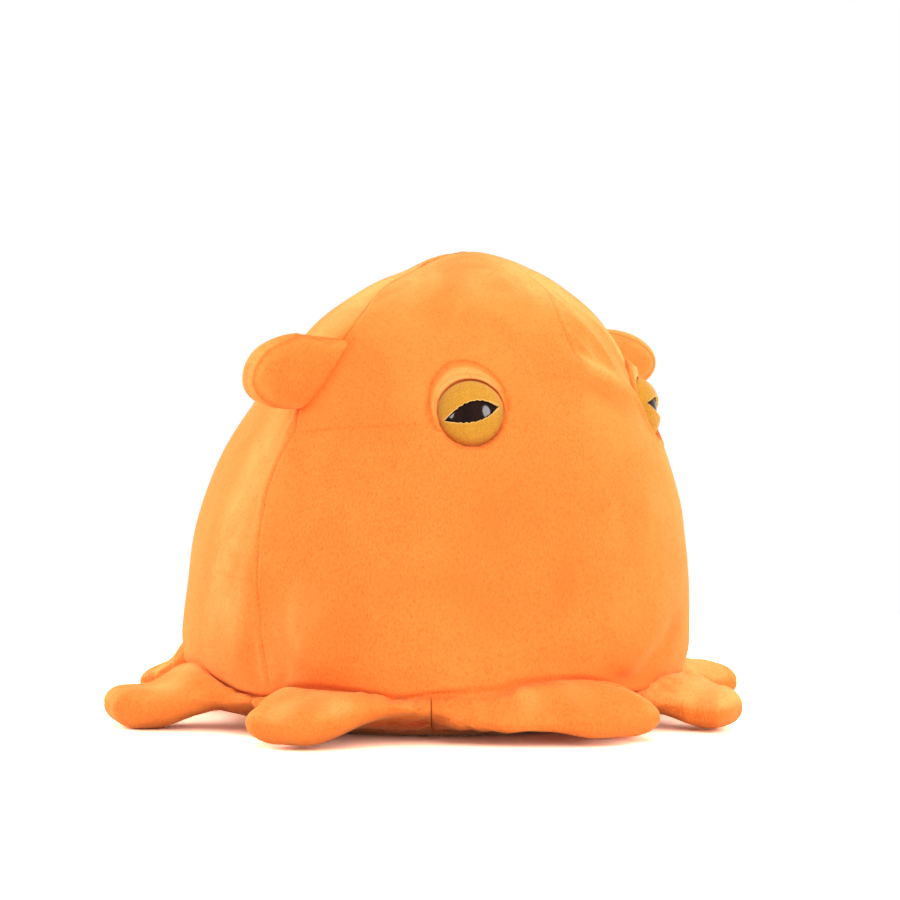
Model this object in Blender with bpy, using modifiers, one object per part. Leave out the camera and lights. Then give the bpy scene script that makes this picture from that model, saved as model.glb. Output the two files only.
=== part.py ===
"""Stuffed plush octopus with two fins, sitting on its base.

Metres, +Z up. The toy faces -Y and its left side is +X. The origin is on the floor under the middle of
the body. Directions round the body are angles from the front, positive towards the toy's left.
"""
import math

import bmesh
import bpy
import numpy as np
from mathutils import Matrix, Vector

# Body: a stuffed dome on a tucked, flat base
BODY_HEIGHT = 0.1767
BODY_RADIUS = 0.0964
WIDEST_HEIGHT = 0.0377
BASE_RADIUS = 0.0620
CROWN_LEAN = 0.0174
CROWN_SWELL = 0.0023
CROWN_SWELL_HEIGHT = 0.1481
CROWN_SWELL_SPREAD = 0.0122
SIDE_SEAM_RIDGE = 0.0012
BODY_SEGMENTS = 64
BODY_RINGS = 30
BASE_RING_SHARE = 0.4
HALVINGS = 40

# Powers of the body's profile curves
DOME_SHOULDER = 1.92
DOME_FULLNESS = 1.71
TUCK_FULLNESS = 2.60
LEAN_RISE = 1.62
CROWN_ROUNDING = 0.03
RIDGE_SPREAD = math.radians(9)

# Gap between pieces that are sewn or pressed together
CLEARANCE = 0.0003

# Arms: stuffed lobes that join in a thin web at the seams between them
ARM_LENGTH = 0.0250
ARM_HALF_WIDTH = 0.0180
ARM_ROOT_HEIGHT = 0.0143
ARM_HALF_DEPTH = 0.0082
ARM_ROUNDING = 0.0160
ARM_TIP_HEIGHT = 0.0076
ARM_SINK_LENGTH = 0.0200
ARM_SINK_START = -0.0040
ARM_ROOT_TUCK = 0.0100
ARM_STATIONS = 22
OUTLINE_SAMPLES = 400
SPOKE_POINTS = 7
LOBE_STEEPNESS = 6
BEND_RISE = 1.2
EDGE_ROUNDNESS = 2.4
EDGE_CROWDING = 1.7
WEB_OVERHANG = 0.0063
WEB_HALF_DEPTH = 0.0024
WEB_HEIGHT = 0.0132
WEB_SPREAD = 0.0230
WEB_STEEPNESS = 4

# Each arm: the directions of its two seams and of its middle in degrees, its shares of a plain arm's
# length past the web and half width, the angle in degrees that its tip is bent towards the toy's left,
# and its share of the height at which a plain arm's root is sewn
ARMS = {
    "arm_right_1": ((-45, 7), -14, 0.66, 1.25, 9, 1.10),
    "arm_right_2": ((-89, -45), -69, 0.90, 1.06, -4, 0.93),
    "arm_right_3": ((-134, -89), -112, 1.30, 1.00, -2, 1.07),
    "arm_right_4": ((-180, -134), -155, 0.94, 1.00, 4, 1.77),
    "arm_left_1": ((7, 47), 24, 1.04, 0.94, -5, 1.00),
    "arm_left_2": ((47, 91), 68, 1.02, 1.00, -4, 1.00),
    "arm_left_3": ((91, 135), 113, 1.10, 1.00, 3, 1.21),
    "arm_left_4": ((135, 180), 158, 0.98, 1.00, 4, 1.49),
}

# Fins on the side seams
EAR_HEIGHT = 0.1320
EAR_DIRECTION = 93
EAR_SWEEP = 12
EAR_REACH = 0.0420
EAR_ROOT_DEPTH = 0.0200
EAR_HALF_HEIGHT = 0.0132
EAR_HALF_THICKNESS = 0.0046
EAR_SQUARENESS = 0.72
EAR_SEGMENTS = 20
EAR_RINGS = 12
EAR_LIFTS = {"ear_right": 0, "ear_left": 7}

# Eyes: a domed eye on a stem under two felt lids, in a shallow socket
EYE_HEIGHT = 0.1170
EYE_DIRECTION = 38.2
EYE_TILT = 6
LID_RADIUS = 0.0123
LID_HEIGHT = 0.0092
LID_THICKNESS = 0.0010
DOME_SQUARENESS = 2.2
OPENING_HALF_LENGTH = 0.0107
OPENING_ABOVE = 0.0040
OPENING_BELOW = 0.0032
OPENING_TILT = 14.4
STEM_RADIUS = 0.0024
STEM_LENGTH = 0.0120
WASHER_RADIUS = 0.0085
WASHER_THICKNESS = 0.0020
WASHER_DEPTH = 0.0040
TURN_STEPS = 32
DOME_POINTS = 7
LID_EDGE_STEPS = 14

# Plush roll over each eye
HOOD_TOP_RADIUS = 0.0033
HOOD_END_RADIUS = 0.0009
HOOD_START = 6
HOOD_END = 214
HOOD_PEAK = 98
HOOD_LIFT = 0.35
HOOD_SECTIONS = 19
HOOD_SECTION_POINTS = 10

# Colours, roughness
PLUSH = ("orange_plush", (0.96, 0.30, 0.065, 1), 0.95)
FELT = ("ochre_felt", (0.78, 0.40, 0.035, 1), 0.95)
DARK_PLASTIC = ("dark_eye_plastic", (0.012, 0.008, 0.006, 1), 0.12)
PALE_PLASTIC = ("pale_washer_plastic", (0.75, 0.75, 0.72, 1), 0.45)

for old in list(bpy.data.objects):
    bpy.data.objects.remove(old)

parts = bpy.data.collections.new("plush_octopus")
cutters = bpy.data.collections.new("cutters")
bpy.context.scene.collection.children.link(parts)
bpy.context.scene.collection.children.link(cutters)


def material(finish):
    """A Principled material, made once for each finish."""
    name, colour, roughness = finish
    if name in bpy.data.materials:
        return bpy.data.materials[name]
    made = bpy.data.materials.new(name)
    made.use_nodes = True
    shader = made.node_tree.nodes["Principled BSDF"]
    shader.inputs["Base Color"].default_value = colour
    shader.inputs["Roughness"].default_value = roughness
    shader.inputs["Metallic"].default_value = 0
    made.diffuse_color = colour
    return made


def add_object(name, bm, collection):
    """Turns a bmesh into an object with its normals facing out."""
    bmesh.ops.recalc_face_normals(bm, faces=bm.faces)
    mesh = bpy.data.meshes.new(name)
    bm.to_mesh(mesh)
    bm.free()
    mesh.shade_smooth()
    made = bpy.data.objects.new(name, mesh)
    collection.objects.link(made)
    return made


def add_cutter(name, bm):
    """A solid that only shapes other solids."""
    made = add_object(name, bm, cutters)
    made.hide_render = True
    made.display_type = "WIRE"
    return made


def boolean(piece, tool, operation):
    """Shapes a piece with another solid."""
    modifier = piece.modifiers.new(tool.name, "BOOLEAN")
    modifier.object = tool
    modifier.operation = operation
    modifier.solver = "EXACT"


# Body

def body_radius(height, direction):
    """Radius of the skin: a superellipse dome with a fuller band round the crown above the widest ring, a
    rounded tuck below it, and a low ridge along each side seam."""
    if height >= WIDEST_HEIGHT:
        rise = min((height - WIDEST_HEIGHT) / (BODY_HEIGHT - WIDEST_HEIGHT), 1)
        radius = BODY_RADIUS * (1 - rise ** DOME_SHOULDER) ** (1 / DOME_FULLNESS)
        swell = CROWN_SWELL * math.exp(-((height - CROWN_SWELL_HEIGHT) / CROWN_SWELL_SPREAD) ** 2)
        radius += swell * min((1 - rise) / CROWN_ROUNDING, 1) ** 0.5
    else:
        drop = 1 - max(height, 0) / WIDEST_HEIGHT
        radius = BASE_RADIUS + (BODY_RADIUS - BASE_RADIUS) * math.sqrt(1 - drop ** TUCK_FULLNESS)
    off_seam = abs(abs(direction) - math.pi / 2)
    ridge = SIDE_SEAM_RIDGE * math.exp(-off_seam / RIDGE_SPREAD)
    return radius + ridge * min(radius / BODY_RADIUS, 1) * min(height / WIDEST_HEIGHT, 1)


def body_lean(height):
    """How far the middle of the dome has moved forward at a height."""
    rise = min(max((height - WIDEST_HEIGHT) / (BODY_HEIGHT - WIDEST_HEIGHT), 0), 1)
    return CROWN_LEAN * rise ** LEAN_RISE


def body_point(direction, height):
    """The point on the skin in a direction from the front, in radians."""
    radius = body_radius(height, direction)
    return Vector((radius * math.sin(direction), -radius * math.cos(direction) - body_lean(height), height))


def inside_body(point):
    """Whether a point lies under the skin."""
    if not 0 < point.z < BODY_HEIGHT:
        return False
    across = point.y + body_lean(point.z)
    direction = math.atan2(point.x, -across)
    return math.hypot(point.x, across) < body_radius(point.z, direction)


def distance_to_skin(start, axis, low, high):
    """Where a line leaves the body, measured along it from its start, by halving the span."""
    for _ in range(HALVINGS):
        middle = (low + high) / 2
        if inside_body(start + axis * middle):
            low = middle
        else:
            high = middle
    return low


def body_skin(growth):
    """The closed skin: a UV sphere whose rings are moved on to the profile. The lowest rings lie in the
    flat base. Growth moves every point out along its normal."""
    bm = bmesh.new()
    bmesh.ops.create_uvsphere(bm, u_segments=BODY_SEGMENTS, v_segments=BODY_RINGS, radius=1)
    for vert in bm.verts:
        direction = math.atan2(vert.co.x, -vert.co.y)
        polar = math.acos(max(-1, min(1, vert.co.z)))
        if polar < math.pi / 2:
            height = WIDEST_HEIGHT + (BODY_HEIGHT - WIDEST_HEIGHT) * math.cos(polar)
            vert.co = body_point(direction, height)
            continue
        share = (polar - math.pi / 2) / (math.pi / 2)
        if share < 1 - BASE_RING_SHARE:
            height = WIDEST_HEIGHT * (1 - math.sin(share / (1 - BASE_RING_SHARE) * math.pi / 2))
            vert.co = body_point(direction, height)
        else:
            radius = BASE_RADIUS * (1 - share) / BASE_RING_SHARE
            vert.co = Vector((radius * math.sin(direction), -radius * math.cos(direction), 0))
    bm.normal_update()
    moves = [(vert, vert.normal * growth) for vert in bm.verts]
    for vert, move in moves:
        vert.co += move
    return bm


# Lofts

def loft(rings):
    """A closed solid through rings of points, with a flat cap on each end."""
    bm = bmesh.new()
    rows = [[bm.verts.new(point) for point in ring] for ring in rings]
    count = len(rows[0])
    for row, after in zip(rows, rows[1:]):
        for i in range(count):
            bm.faces.new((row[i], row[(i + 1) % count], after[(i + 1) % count], after[i]))
    bm.faces.new(rows[0])
    bm.faces.new(reversed(rows[-1]))
    return bm


# Arms

def web_radius():
    """Radius of the web's edge, a little outside the skin where the web is sewn."""
    return body_radius(WEB_HEIGHT, 0) + WEB_OVERHANG


def lobe_outline(seams, middle, length, half_width):
    """The arm's edge in plan from one seam to the other, evenly spaced: pairs of a direction and a
    radius. The edge leaves each seam at the web's radius and swells to the tip as one over one plus a high
    power of the distance off the arm's middle."""
    web = web_radius()
    before, after = math.radians(seams[0]) - middle, math.radians(seams[1]) - middle
    offsets = np.linspace(web * math.sin(before), web * math.sin(after), OUTLINE_SAMPLES)
    swell = 1 / (1 + np.abs(offsets / half_width) ** LOBE_STEEPNESS)
    at_seam = np.where(offsets < 0, swell[0], swell[-1])
    radii = web + length * (swell - at_seam) / (1 - at_seam)
    angles = np.arcsin(offsets / radii)
    steps = np.hypot(np.diff(radii), radii[1:] * np.diff(angles))
    travelled = np.concatenate(([0], np.cumsum(steps)))
    even = np.linspace(0, travelled[-1], ARM_STATIONS)
    return np.interp(even, travelled, angles), np.interp(even, travelled, radii)


def smooth_step(share):
    """Eases from 0 to 1."""
    share = min(max(share, 0), 1)
    return share * share * (3 - 2 * share)


def arm_rings(seams, direction, length_share, width_share, bend, height_share):
    """Upright sections of the arm along its spokes, from inside the body to the edge in plan. Each is
    rounded at the edge, thick in the middle of the arm and thin at the web, and sinks towards the tip."""
    middle = math.radians(direction)
    length, half_width = ARM_LENGTH * length_share, ARM_HALF_WIDTH * width_share
    root_height = ARM_ROOT_HEIGHT * height_share
    web, root = web_radius(), BASE_RADIUS + ARM_ROOT_TUCK
    angles, radii = lobe_outline(seams, middle, length, half_width)
    edge = np.stack((radii * np.sin(angles), radii * np.cos(angles)), axis=1)
    rings = []
    for station, (angle, radius) in enumerate(zip(angles, radii)):
        top, bottom = [], []
        for i in range(SPOKE_POINTS):
            share = 1 - (1 - i / (SPOKE_POINTS - 1)) ** EDGE_CROWDING
            out = root + (radius - root) * share
            place = np.array((out * math.sin(angle), out * math.cos(angle)))
            to_edge = np.hypot(*(edge - place).T).min() if i < SPOKE_POINTS - 1 else 0
            closing = 1 - min(to_edge / ARM_ROUNDING, 1)
            body_share = 1 / (1 + abs(place[0] / WEB_SPREAD) ** WEB_STEEPNESS)
            depth = WEB_HALF_DEPTH + (ARM_HALF_DEPTH - WEB_HALF_DEPTH) * body_share
            half_depth = depth * math.sqrt(1 - closing ** EDGE_ROUNDNESS)
            sink = smooth_step((out - web - ARM_SINK_START) / ARM_SINK_LENGTH)
            root_level = WEB_HEIGHT + (root_height - WEB_HEIGHT) * body_share
            level = root_level + (ARM_TIP_HEIGHT - root_level) * sink * body_share
            past_web = max(out - web, 0) / length
            turn = middle + angle + math.radians(bend) * past_web ** BEND_RISE
            if station in (0, ARM_STATIONS - 1):
                turn -= math.copysign(CLEARANCE / 2 / out, angle)
            flat = Vector((out * math.sin(turn), -out * math.cos(turn), 0))
            top.append(flat + Vector((0, 0, max(level + half_depth, 2 * CLEARANCE))))
            bottom.append(flat + Vector((0, 0, max(level - half_depth, CLEARANCE))))
        rings.append(top + bottom[-2::-1])
    return rings


# Fins

def ear_form(side, lift):
    """A flat pad: a UV sphere drawn out to a rounded paddle, with its inner end inside the body."""
    bm = bmesh.new()
    bmesh.ops.create_uvsphere(bm, u_segments=EAR_SEGMENTS, v_segments=EAR_RINGS, radius=1)
    half_length = (EAR_REACH + EAR_ROOT_DEPTH) / 2
    root = body_point(side * math.radians(EAR_DIRECTION), EAR_HEIGHT)
    for vert in bm.verts:
        along, thick, up = vert.co.z, vert.co.x, vert.co.y
        at_pole = abs(along) > 0.999
        spread = 1 if at_pole else (1 - along * along) ** ((EAR_SQUARENESS - 1) / 2)
        vert.co = Vector((
            side * (along * half_length + EAR_REACH - half_length),
            thick * EAR_HALF_THICKNESS * spread,
            up * EAR_HALF_HEIGHT * spread,
        ))
    turn = Matrix.Rotation(-side * math.radians(EAR_SWEEP), 3, "Z")
    raise_tip = Matrix.Rotation(-side * math.radians(lift), 3, "Y")
    bmesh.ops.transform(bm, matrix=(turn @ raise_tip).to_4x4(), verts=bm.verts)
    bmesh.ops.translate(bm, verts=bm.verts, vec=root)
    return bm


# Eyes

def eye_frame(side):
    """The eye's own axes at its seat: X across towards the nose, Y up, Z out of the head. The seat is flat
    and as deep as it must be for the lids' upper rim to meet the skin."""
    direction = side * math.radians(EYE_DIRECTION)
    tilt = math.radians(EYE_TILT)
    ahead = Vector((math.sin(direction), -math.cos(direction), 0))
    out = ahead * math.cos(tilt) + Vector((0, 0, math.sin(tilt)))
    nose_side = Vector((-side * math.cos(direction), -side * math.sin(direction), 0))
    up = (nose_side.cross(out) * side).normalized()
    centre = body_point(direction, EYE_HEIGHT)
    rim = LID_RADIUS + CLEARANCE
    reaches = []
    for i in range(TURN_STEPS):
        angle = 2 * math.pi * i / TURN_STEPS
        start = centre + nose_side * rim * math.cos(angle) + up * rim * math.sin(angle)
        reaches.append(distance_to_skin(start, out, -LID_RADIUS, LID_RADIUS))
    seat = centre + out * min(reaches)
    frame = Matrix((nose_side, up, out)).transposed().to_4x4()
    frame.translation = seat
    return frame


def turned(name, profile, frame, collection):
    """A profile of (radius, height) points, turned about the frame's Z axis. It runs from the top of the
    axis down the outside and back to the axis, or in a closed loop clear of the axis."""
    mesh = bpy.data.meshes.new(name)
    closed = profile[0][0] > 0
    edges = [(i, (i + 1) % len(profile)) for i in range(len(profile) - (0 if closed else 1))]
    mesh.from_pydata([(radius, 0, height) for radius, height in profile], edges, [])
    made = bpy.data.objects.new(name, mesh)
    made.matrix_world = frame
    collection.objects.link(made)
    screw = made.modifiers.new("turn", "SCREW")
    screw.steps = TURN_STEPS
    screw.render_steps = TURN_STEPS
    screw.use_merge_vertices = True
    screw.merge_threshold = 0.00001
    return made


def dome(radius, height, base):
    """Profile points from the apex to the rim of a superellipse dome that stands on a base height."""
    points = []
    for i in range(DOME_POINTS + 1):
        turn = math.pi / 2 * i / DOME_POINTS
        out = math.sin(turn) ** (2 / DOME_SQUARENESS)
        up = math.cos(turn) ** (2 / DOME_SQUARENESS) if i < DOME_POINTS else 0
        points.append((radius * out, base + (height - base) * up))
    return points


def washer_seat():
    """Depths of the washer's upper and lower faces below the seat."""
    return -WASHER_DEPTH, -WASHER_DEPTH - WASHER_THICKNESS


def eye_profile():
    """The dome under the lids, its flat back and its stem."""
    radius = LID_RADIUS - LID_THICKNESS - CLEARANCE
    height = LID_HEIGHT - LID_THICKNESS - CLEARANCE
    profile = dome(radius, height, 2 * CLEARANCE)
    profile += [(radius, CLEARANCE), (STEM_RADIUS, CLEARANCE), (STEM_RADIUS, -STEM_LENGTH), (0, -STEM_LENGTH)]
    return profile


def lid_profile():
    """The felt shell over the dome before it is cut into two lids."""
    outer = dome(LID_RADIUS, LID_HEIGHT, CLEARANCE)
    inner = dome(LID_RADIUS - LID_THICKNESS, LID_HEIGHT - LID_THICKNESS, CLEARANCE)
    return outer + inner[::-1]


def washer_profile():
    """A flat ring on the stem."""
    top, bottom = washer_seat()
    bore = STEM_RADIUS + CLEARANCE
    return [(bore, top), (WASHER_RADIUS, top), (WASHER_RADIUS, bottom), (bore, bottom)]


def pocket_profile():
    """The room that an eye takes in the body: the socket, the stem's hole and the washer's place."""
    top, bottom = washer_seat()
    hole = STEM_RADIUS + CLEARANCE
    place = WASHER_RADIUS + CLEARANCE
    socket = LID_RADIUS + CLEARANCE
    return [
        (0, LID_RADIUS),
        (socket, LID_RADIUS),
        (socket, 0),
        (hole, 0),
        (hole, top + CLEARANCE),
        (place, top + CLEARANCE),
        (place, bottom - CLEARANCE),
        (hole, bottom - CLEARANCE),
        (hole, -STEM_LENGTH - CLEARANCE),
        (0, -STEM_LENGTH - CLEARANCE),
    ]


def lid_cutter(name, upper, frame):
    """A plate across the eye whose edge is the lid's edge: a shallow bow over the opening and a straight
    parting line beyond each corner."""
    half = OPENING_HALF_LENGTH
    bow = OPENING_ABOVE if upper else -OPENING_BELOW
    step = CLEARANCE / 2 if upper else -CLEARANCE / 2
    far = 2 * LID_RADIUS if upper else -2 * LID_RADIUS
    wide = 2 * LID_RADIUS
    shares = [2 * i / LID_EDGE_STEPS - 1 for i in range(LID_EDGE_STEPS + 1)]
    edge = [(half * share, bow * (1 - share * share) + step) for share in shares]
    outline = [(-wide, step)] + edge + [(wide, step), (wide, far), (-wide, far)]
    curve = bpy.data.curves.new(name, "CURVE")
    curve.dimensions = "2D"
    curve.fill_mode = "BOTH"
    curve.extrude = LID_RADIUS
    spline = curve.splines.new("POLY")
    spline.points.add(len(outline) - 1)
    for point, (x, y) in zip(spline.points, outline):
        point.co = (x, y, 0, 1)
    spline.use_cyclic_u = True
    flat = bpy.data.objects.new(name + "_outline", curve)
    cutters.objects.link(flat)
    graph = bpy.context.evaluated_depsgraph_get()
    mesh = bpy.data.meshes.new_from_object(flat.evaluated_get(graph))
    bpy.data.objects.remove(flat)
    bm = bmesh.new()
    bm.from_mesh(mesh)
    bmesh.ops.remove_doubles(bm, verts=bm.verts, dist=0.000001)
    turn = Matrix.Rotation(math.radians(OPENING_TILT), 4, "Z")
    bmesh.ops.transform(bm, matrix=frame @ turn, verts=bm.verts)
    return add_cutter(name, bm)


def hood_rings(frame):
    """Round sections along a crescent just outside the lids, lying on the skin, thickest near the top."""
    across, up, out = (frame.col[i].to_3d() for i in range(3))
    seat = frame.translation
    rings = []
    for i in range(HOOD_SECTIONS):
        share = i / (HOOD_SECTIONS - 1)
        degrees = HOOD_START + (HOOD_END - HOOD_START) * share
        span = HOOD_PEAK - HOOD_START if degrees < HOOD_PEAK else HOOD_END - HOOD_PEAK
        nearness = 1 - abs(degrees - HOOD_PEAK) / span
        thickness = HOOD_END_RADIUS + (HOOD_TOP_RADIUS - HOOD_END_RADIUS) * math.sin(nearness * math.pi / 2)
        angle = math.radians(degrees)
        spoke = across * math.cos(angle) + up * math.sin(angle)
        ring_radius = LID_RADIUS + 2 * CLEARANCE + thickness
        middle = seat + spoke * ring_radius
        lift = distance_to_skin(middle, out, -LID_RADIUS, LID_RADIUS) + thickness * HOOD_LIFT
        middle = middle + out * lift
        ring = []
        for j in range(HOOD_SECTION_POINTS):
            turn = 2 * math.pi * j / HOOD_SECTION_POINTS
            ring.append(middle + (spoke * math.cos(turn) + out * math.sin(turn)) * thickness)
        rings.append(ring)
    return rings


def dress(piece, finish):
    """Gives a piece its material."""
    piece.data.materials.clear()
    piece.data.materials.append(material(finish))


body = add_object("body", body_skin(0), parts)
dress(body, PLUSH)
skin_cutter = add_cutter("grown_skin", body_skin(CLEARANCE))

for name, course in ARMS.items():
    arm = add_object(name, loft(arm_rings(*course)), parts)
    boolean(arm, skin_cutter, "DIFFERENCE")
    dress(arm, PLUSH)

for name, lift in EAR_LIFTS.items():
    side = 1 if name.endswith("left") else -1
    ear = add_object(name, ear_form(side, lift), parts)
    boolean(ear, skin_cutter, "DIFFERENCE")
    dress(ear, PLUSH)

for side, label in ((1, "left"), (-1, "right")):
    frame = eye_frame(side)
    pocket = turned("eye_pocket_" + label, pocket_profile(), frame, cutters)
    pocket.hide_render = True
    pocket.display_type = "WIRE"
    boolean(body, pocket, "DIFFERENCE")
    dress(turned("eye_" + label, eye_profile(), frame, parts), DARK_PLASTIC)
    dress(turned("eye_washer_" + label, washer_profile(), frame, parts), PALE_PLASTIC)
    for upper, lid_name in ((True, "upper_lid_" + label), (False, "lower_lid_" + label)):
        lid = turned(lid_name, lid_profile(), frame, parts)
        boolean(lid, lid_cutter(lid_name + "_edge", upper, frame), "INTERSECT")
        dress(lid, FELT)
    hood = add_object("eye_hood_" + label, loft(hood_rings(frame)), parts)
    boolean(hood, skin_cutter, "DIFFERENCE")
    dress(hood, PLUSH)
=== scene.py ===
"""The finish of a stuffed plush octopus: skin, arms, fins, eye hoods, felt lids, eyes and washers.

Metres, +Z up. The toy faces -Y and its left side is +X. Directions round the body are angles from the
front, positive towards the toy's left. Sizes that the solids share keep the solids' names, and all but a
few of their values.
"""

import math

import bpy
import numpy as np
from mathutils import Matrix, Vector


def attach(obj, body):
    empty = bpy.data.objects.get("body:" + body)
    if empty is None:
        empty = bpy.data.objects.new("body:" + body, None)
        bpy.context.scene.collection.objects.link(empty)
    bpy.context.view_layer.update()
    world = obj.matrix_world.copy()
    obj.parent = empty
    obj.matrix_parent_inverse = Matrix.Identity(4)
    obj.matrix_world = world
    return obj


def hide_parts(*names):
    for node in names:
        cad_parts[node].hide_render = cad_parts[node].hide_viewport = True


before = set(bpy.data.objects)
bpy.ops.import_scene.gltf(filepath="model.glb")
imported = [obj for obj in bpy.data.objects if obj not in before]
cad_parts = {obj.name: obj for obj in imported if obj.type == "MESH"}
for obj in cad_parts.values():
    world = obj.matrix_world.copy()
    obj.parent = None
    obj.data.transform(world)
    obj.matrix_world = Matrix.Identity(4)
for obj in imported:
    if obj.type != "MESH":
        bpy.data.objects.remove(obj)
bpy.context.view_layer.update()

MM = 0.001

# Body profile, as the solid has it
BODY_HEIGHT = 0.1767
BODY_RADIUS = 0.0964
WIDEST_HEIGHT = 0.0377
BASE_RADIUS = 0.0620
CROWN_LEAN = 0.0174
CROWN_SWELL = 0.0023
CROWN_SWELL_HEIGHT = 0.1481
CROWN_SWELL_SPREAD = 0.0122
SIDE_SEAM_RIDGE = 0.0012
DOME_SHOULDER = 1.92
DOME_FULLNESS = 1.71
TUCK_FULLNESS = 2.60
LEAN_RISE = 1.62
CROWN_ROUNDING = 0.03
RIDGE_SPREAD = math.radians(9)
CLEARANCE = 0.0003

# Body grid
BODY_COLUMNS = 400
DOME_ROWS = 172
TUCK_ROWS = 48
BASE_ROWS = 18
BODY_CLOTH_ROWS = 60
BODY_CLOTH_COLUMNS = 100
CROWD_SEAM = 2.4
CROWD_SEAM_SPREAD = math.radians(5)
CROWD_DART = 1.6
CROWD_DART_SPREAD = 0.004
BODY_SEWN_ROWS = 4
BODY_SEWN_COLUMNS = 10

# Seams, as pairs of a direction in degrees and a height in millimetres on the skin; the crown seam carries
# the side seam on over the top
SIDE_SEAM = [
    (-83, 17), (-84, 38), (-86.4, 58), (-89, 86), (-88.6, 100), (-87.2, 110), (-89.4, 120), (-88.6, 129),
    (-86, 143), (-88, 154), (-93.7, 164.6), (-97.7, 170.5), (-104, 174.6),
]
CROWN_SEAM = [(-110, 175.55), (-126, 176.25), (-180, 176.5)]
CROWN_DART = [(4, 168), (6.5, 161), (2.5, 155), (-0.6, 149.6), (-1.2, 142), (-0.6, 137), (0.6, 134)]
EYE_DART = [(-87.2, 109.2), (-75.3, 111.4), (-60, 112.8), (-50, 113.6)]
ARM_SEAM = [
    (-180, 20), (-168, 27), (-155, 33), (-143, 29), (-134, 19), (-123, 22), (-112, 22.6), (-100.5, 15.7),
    (-89, 14.4), (-81.2, 15.6), (-75.5, 19), (-58.5, 18.9), (-52.2, 17), (-44, 18.5), (-30, 19.7),
    (-25.5, 22), (-16, 22.4), (-5.2, 20.6), (5.5, 14.2), (16.8, 15), (27, 17), (37.8, 16.3), (47, 14.6),
    (57, 18), (68, 19), (80, 17.6), (91, 14.6), (103, 19), (113, 22), (124, 20), (135, 15.6), (147, 20),
    (158, 24.5), (170, 22), (180, 20),
]
SEAM_DEPTH = 0.00034
SEAM_WIDTH = 0.00065
SEAM_SHOULDER = 0.00012
SHOULDER_AWAY = 2.4
SHOULDER_SPREAD = 1.4
SEAM_SHADE_SPREAD = 0.85
SEAM_TAPER = 0.006
SIDE_SEAM_SHADE = 0.50
SEAM_WARP = math.radians(40)
STITCH_LENGTH = 0.0019
DART_DEPTH = 0.00060
DART_SHADE = 0.8
EYE_DART_DEPTH = 0.00016
EYE_DART_SHADE = 0.7
ARM_SEAM_DEPTH = 0.0008
ARM_SEAM_WIDTH = 0.0010
ARM_SEAM_SHADE = 0.36
NOTCH_DEPTH = 0.0009
NOTCH_SHADE = 0.75
NOTCH_HALF_SPAN = 9
# Painted shade on the skin's tuck near the floor
TUCK_SHADE = 0.90
TUCK_SHADE_HEIGHT = 0.0150
UNDER_SEAM_DEPTH = 0.0010
UNDER_SEAM_TOP = 0.0140
UNDER_SEAM_FOOT = 0.0015
LUMP_HEIGHT = 0.00055
LUMP_SIZE = 0.062
SMALL_LUMP_SHARE = 0.4
SMALL_LUMP_SIZE = 0.024

# The skin stands out beside the side seam, more from the crease's start up, and no more at its end
FLANK_CREASE = 0.0006
CROWN_CREASE = 0.0018
CROWN_CREASE_REACH = 0.013
CREASE_START = 0.100
CREASE_CLIMB = 0.030
CREASE_END = 0.158
CREASE_FADE = 0.014

# Soft hollows and folds in the skin: direction in degrees, height, half length and half width across it
# in millimetres, the turn of its long way from level in degrees, and how far it stands out
FOLDS = [
    (-9, 30, 26, 5, 4, -0.0011),
    (-92, 30, 17, 6, -8, -0.0012),
    (-97, 40, 30, 7, 78, -0.0010),
    (-76, 42, 26, 9, 74, 0.0007),
    (17, 33, 30, 5, 33, -0.0014),
    (8, 43, 28, 5, 28, 0.0009),
    (2, 26, 20, 4, 30, 0.0010),
    (12, 130.5, 13, 2.2, -26, 0.0011),
    (24, 123, 12, 2.6, -44, 0.0010),
    (10, 126, 14, 3.0, -30, -0.0009),
    (12.5, 149, 22, 2.4, -68, 0.0009),
    (20, 134, 18, 2.4, -58, 0.0010),
    (17, 141, 20, 1.8, -62, -0.0008),
    (5.5, 140, 8, 1.6, -50, 0.0007),
    (2.5, 134.5, 5, 1.5, -20, 0.0008),
    (27, 142, 20, 2.4, -62, 0.0008),
    (-8, 133, 12, 2.6, 12, 0.0006),
    (-10, 128, 12, 2.6, 16, -0.0005),
    (-66, 128, 20, 8, 60, -0.0006),
    (-80, 94, 16, 6, 84, -0.0005),
    (-52, 60, 34, 12, 65, 0.0006),
    (-30, 84, 34, 12, -20, -0.0005),
    (-9, 62, 30, 13, 50, 0.0006),
    (-58, 36, 28, 8, -6, -0.0007),
    (-128, 52, 24, 8, 70, -0.0006),
    (-134, 27, 24, 12, 0, 0.0020),
    (-150, 80, 30, 12, 62, 0.0007),
    (150, 60, 30, 12, 110, 0.0007),
    (120, 34, 20, 6, 10, -0.0009),
    (178, 36, 26, 7, 4, -0.0010),
    (84, 36, 22, 7, 96, -0.0009),
    (52, 30, 22, 6, -10, -0.0009),
    (70, 92, 28, 10, 70, 0.0006),
    (-172, 118, 30, 10, 12, -0.0006),
    (1, 21, 12, 3, -24, -0.0016),
    (9, 22, 12, 3, 34, -0.0012),
]
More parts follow.
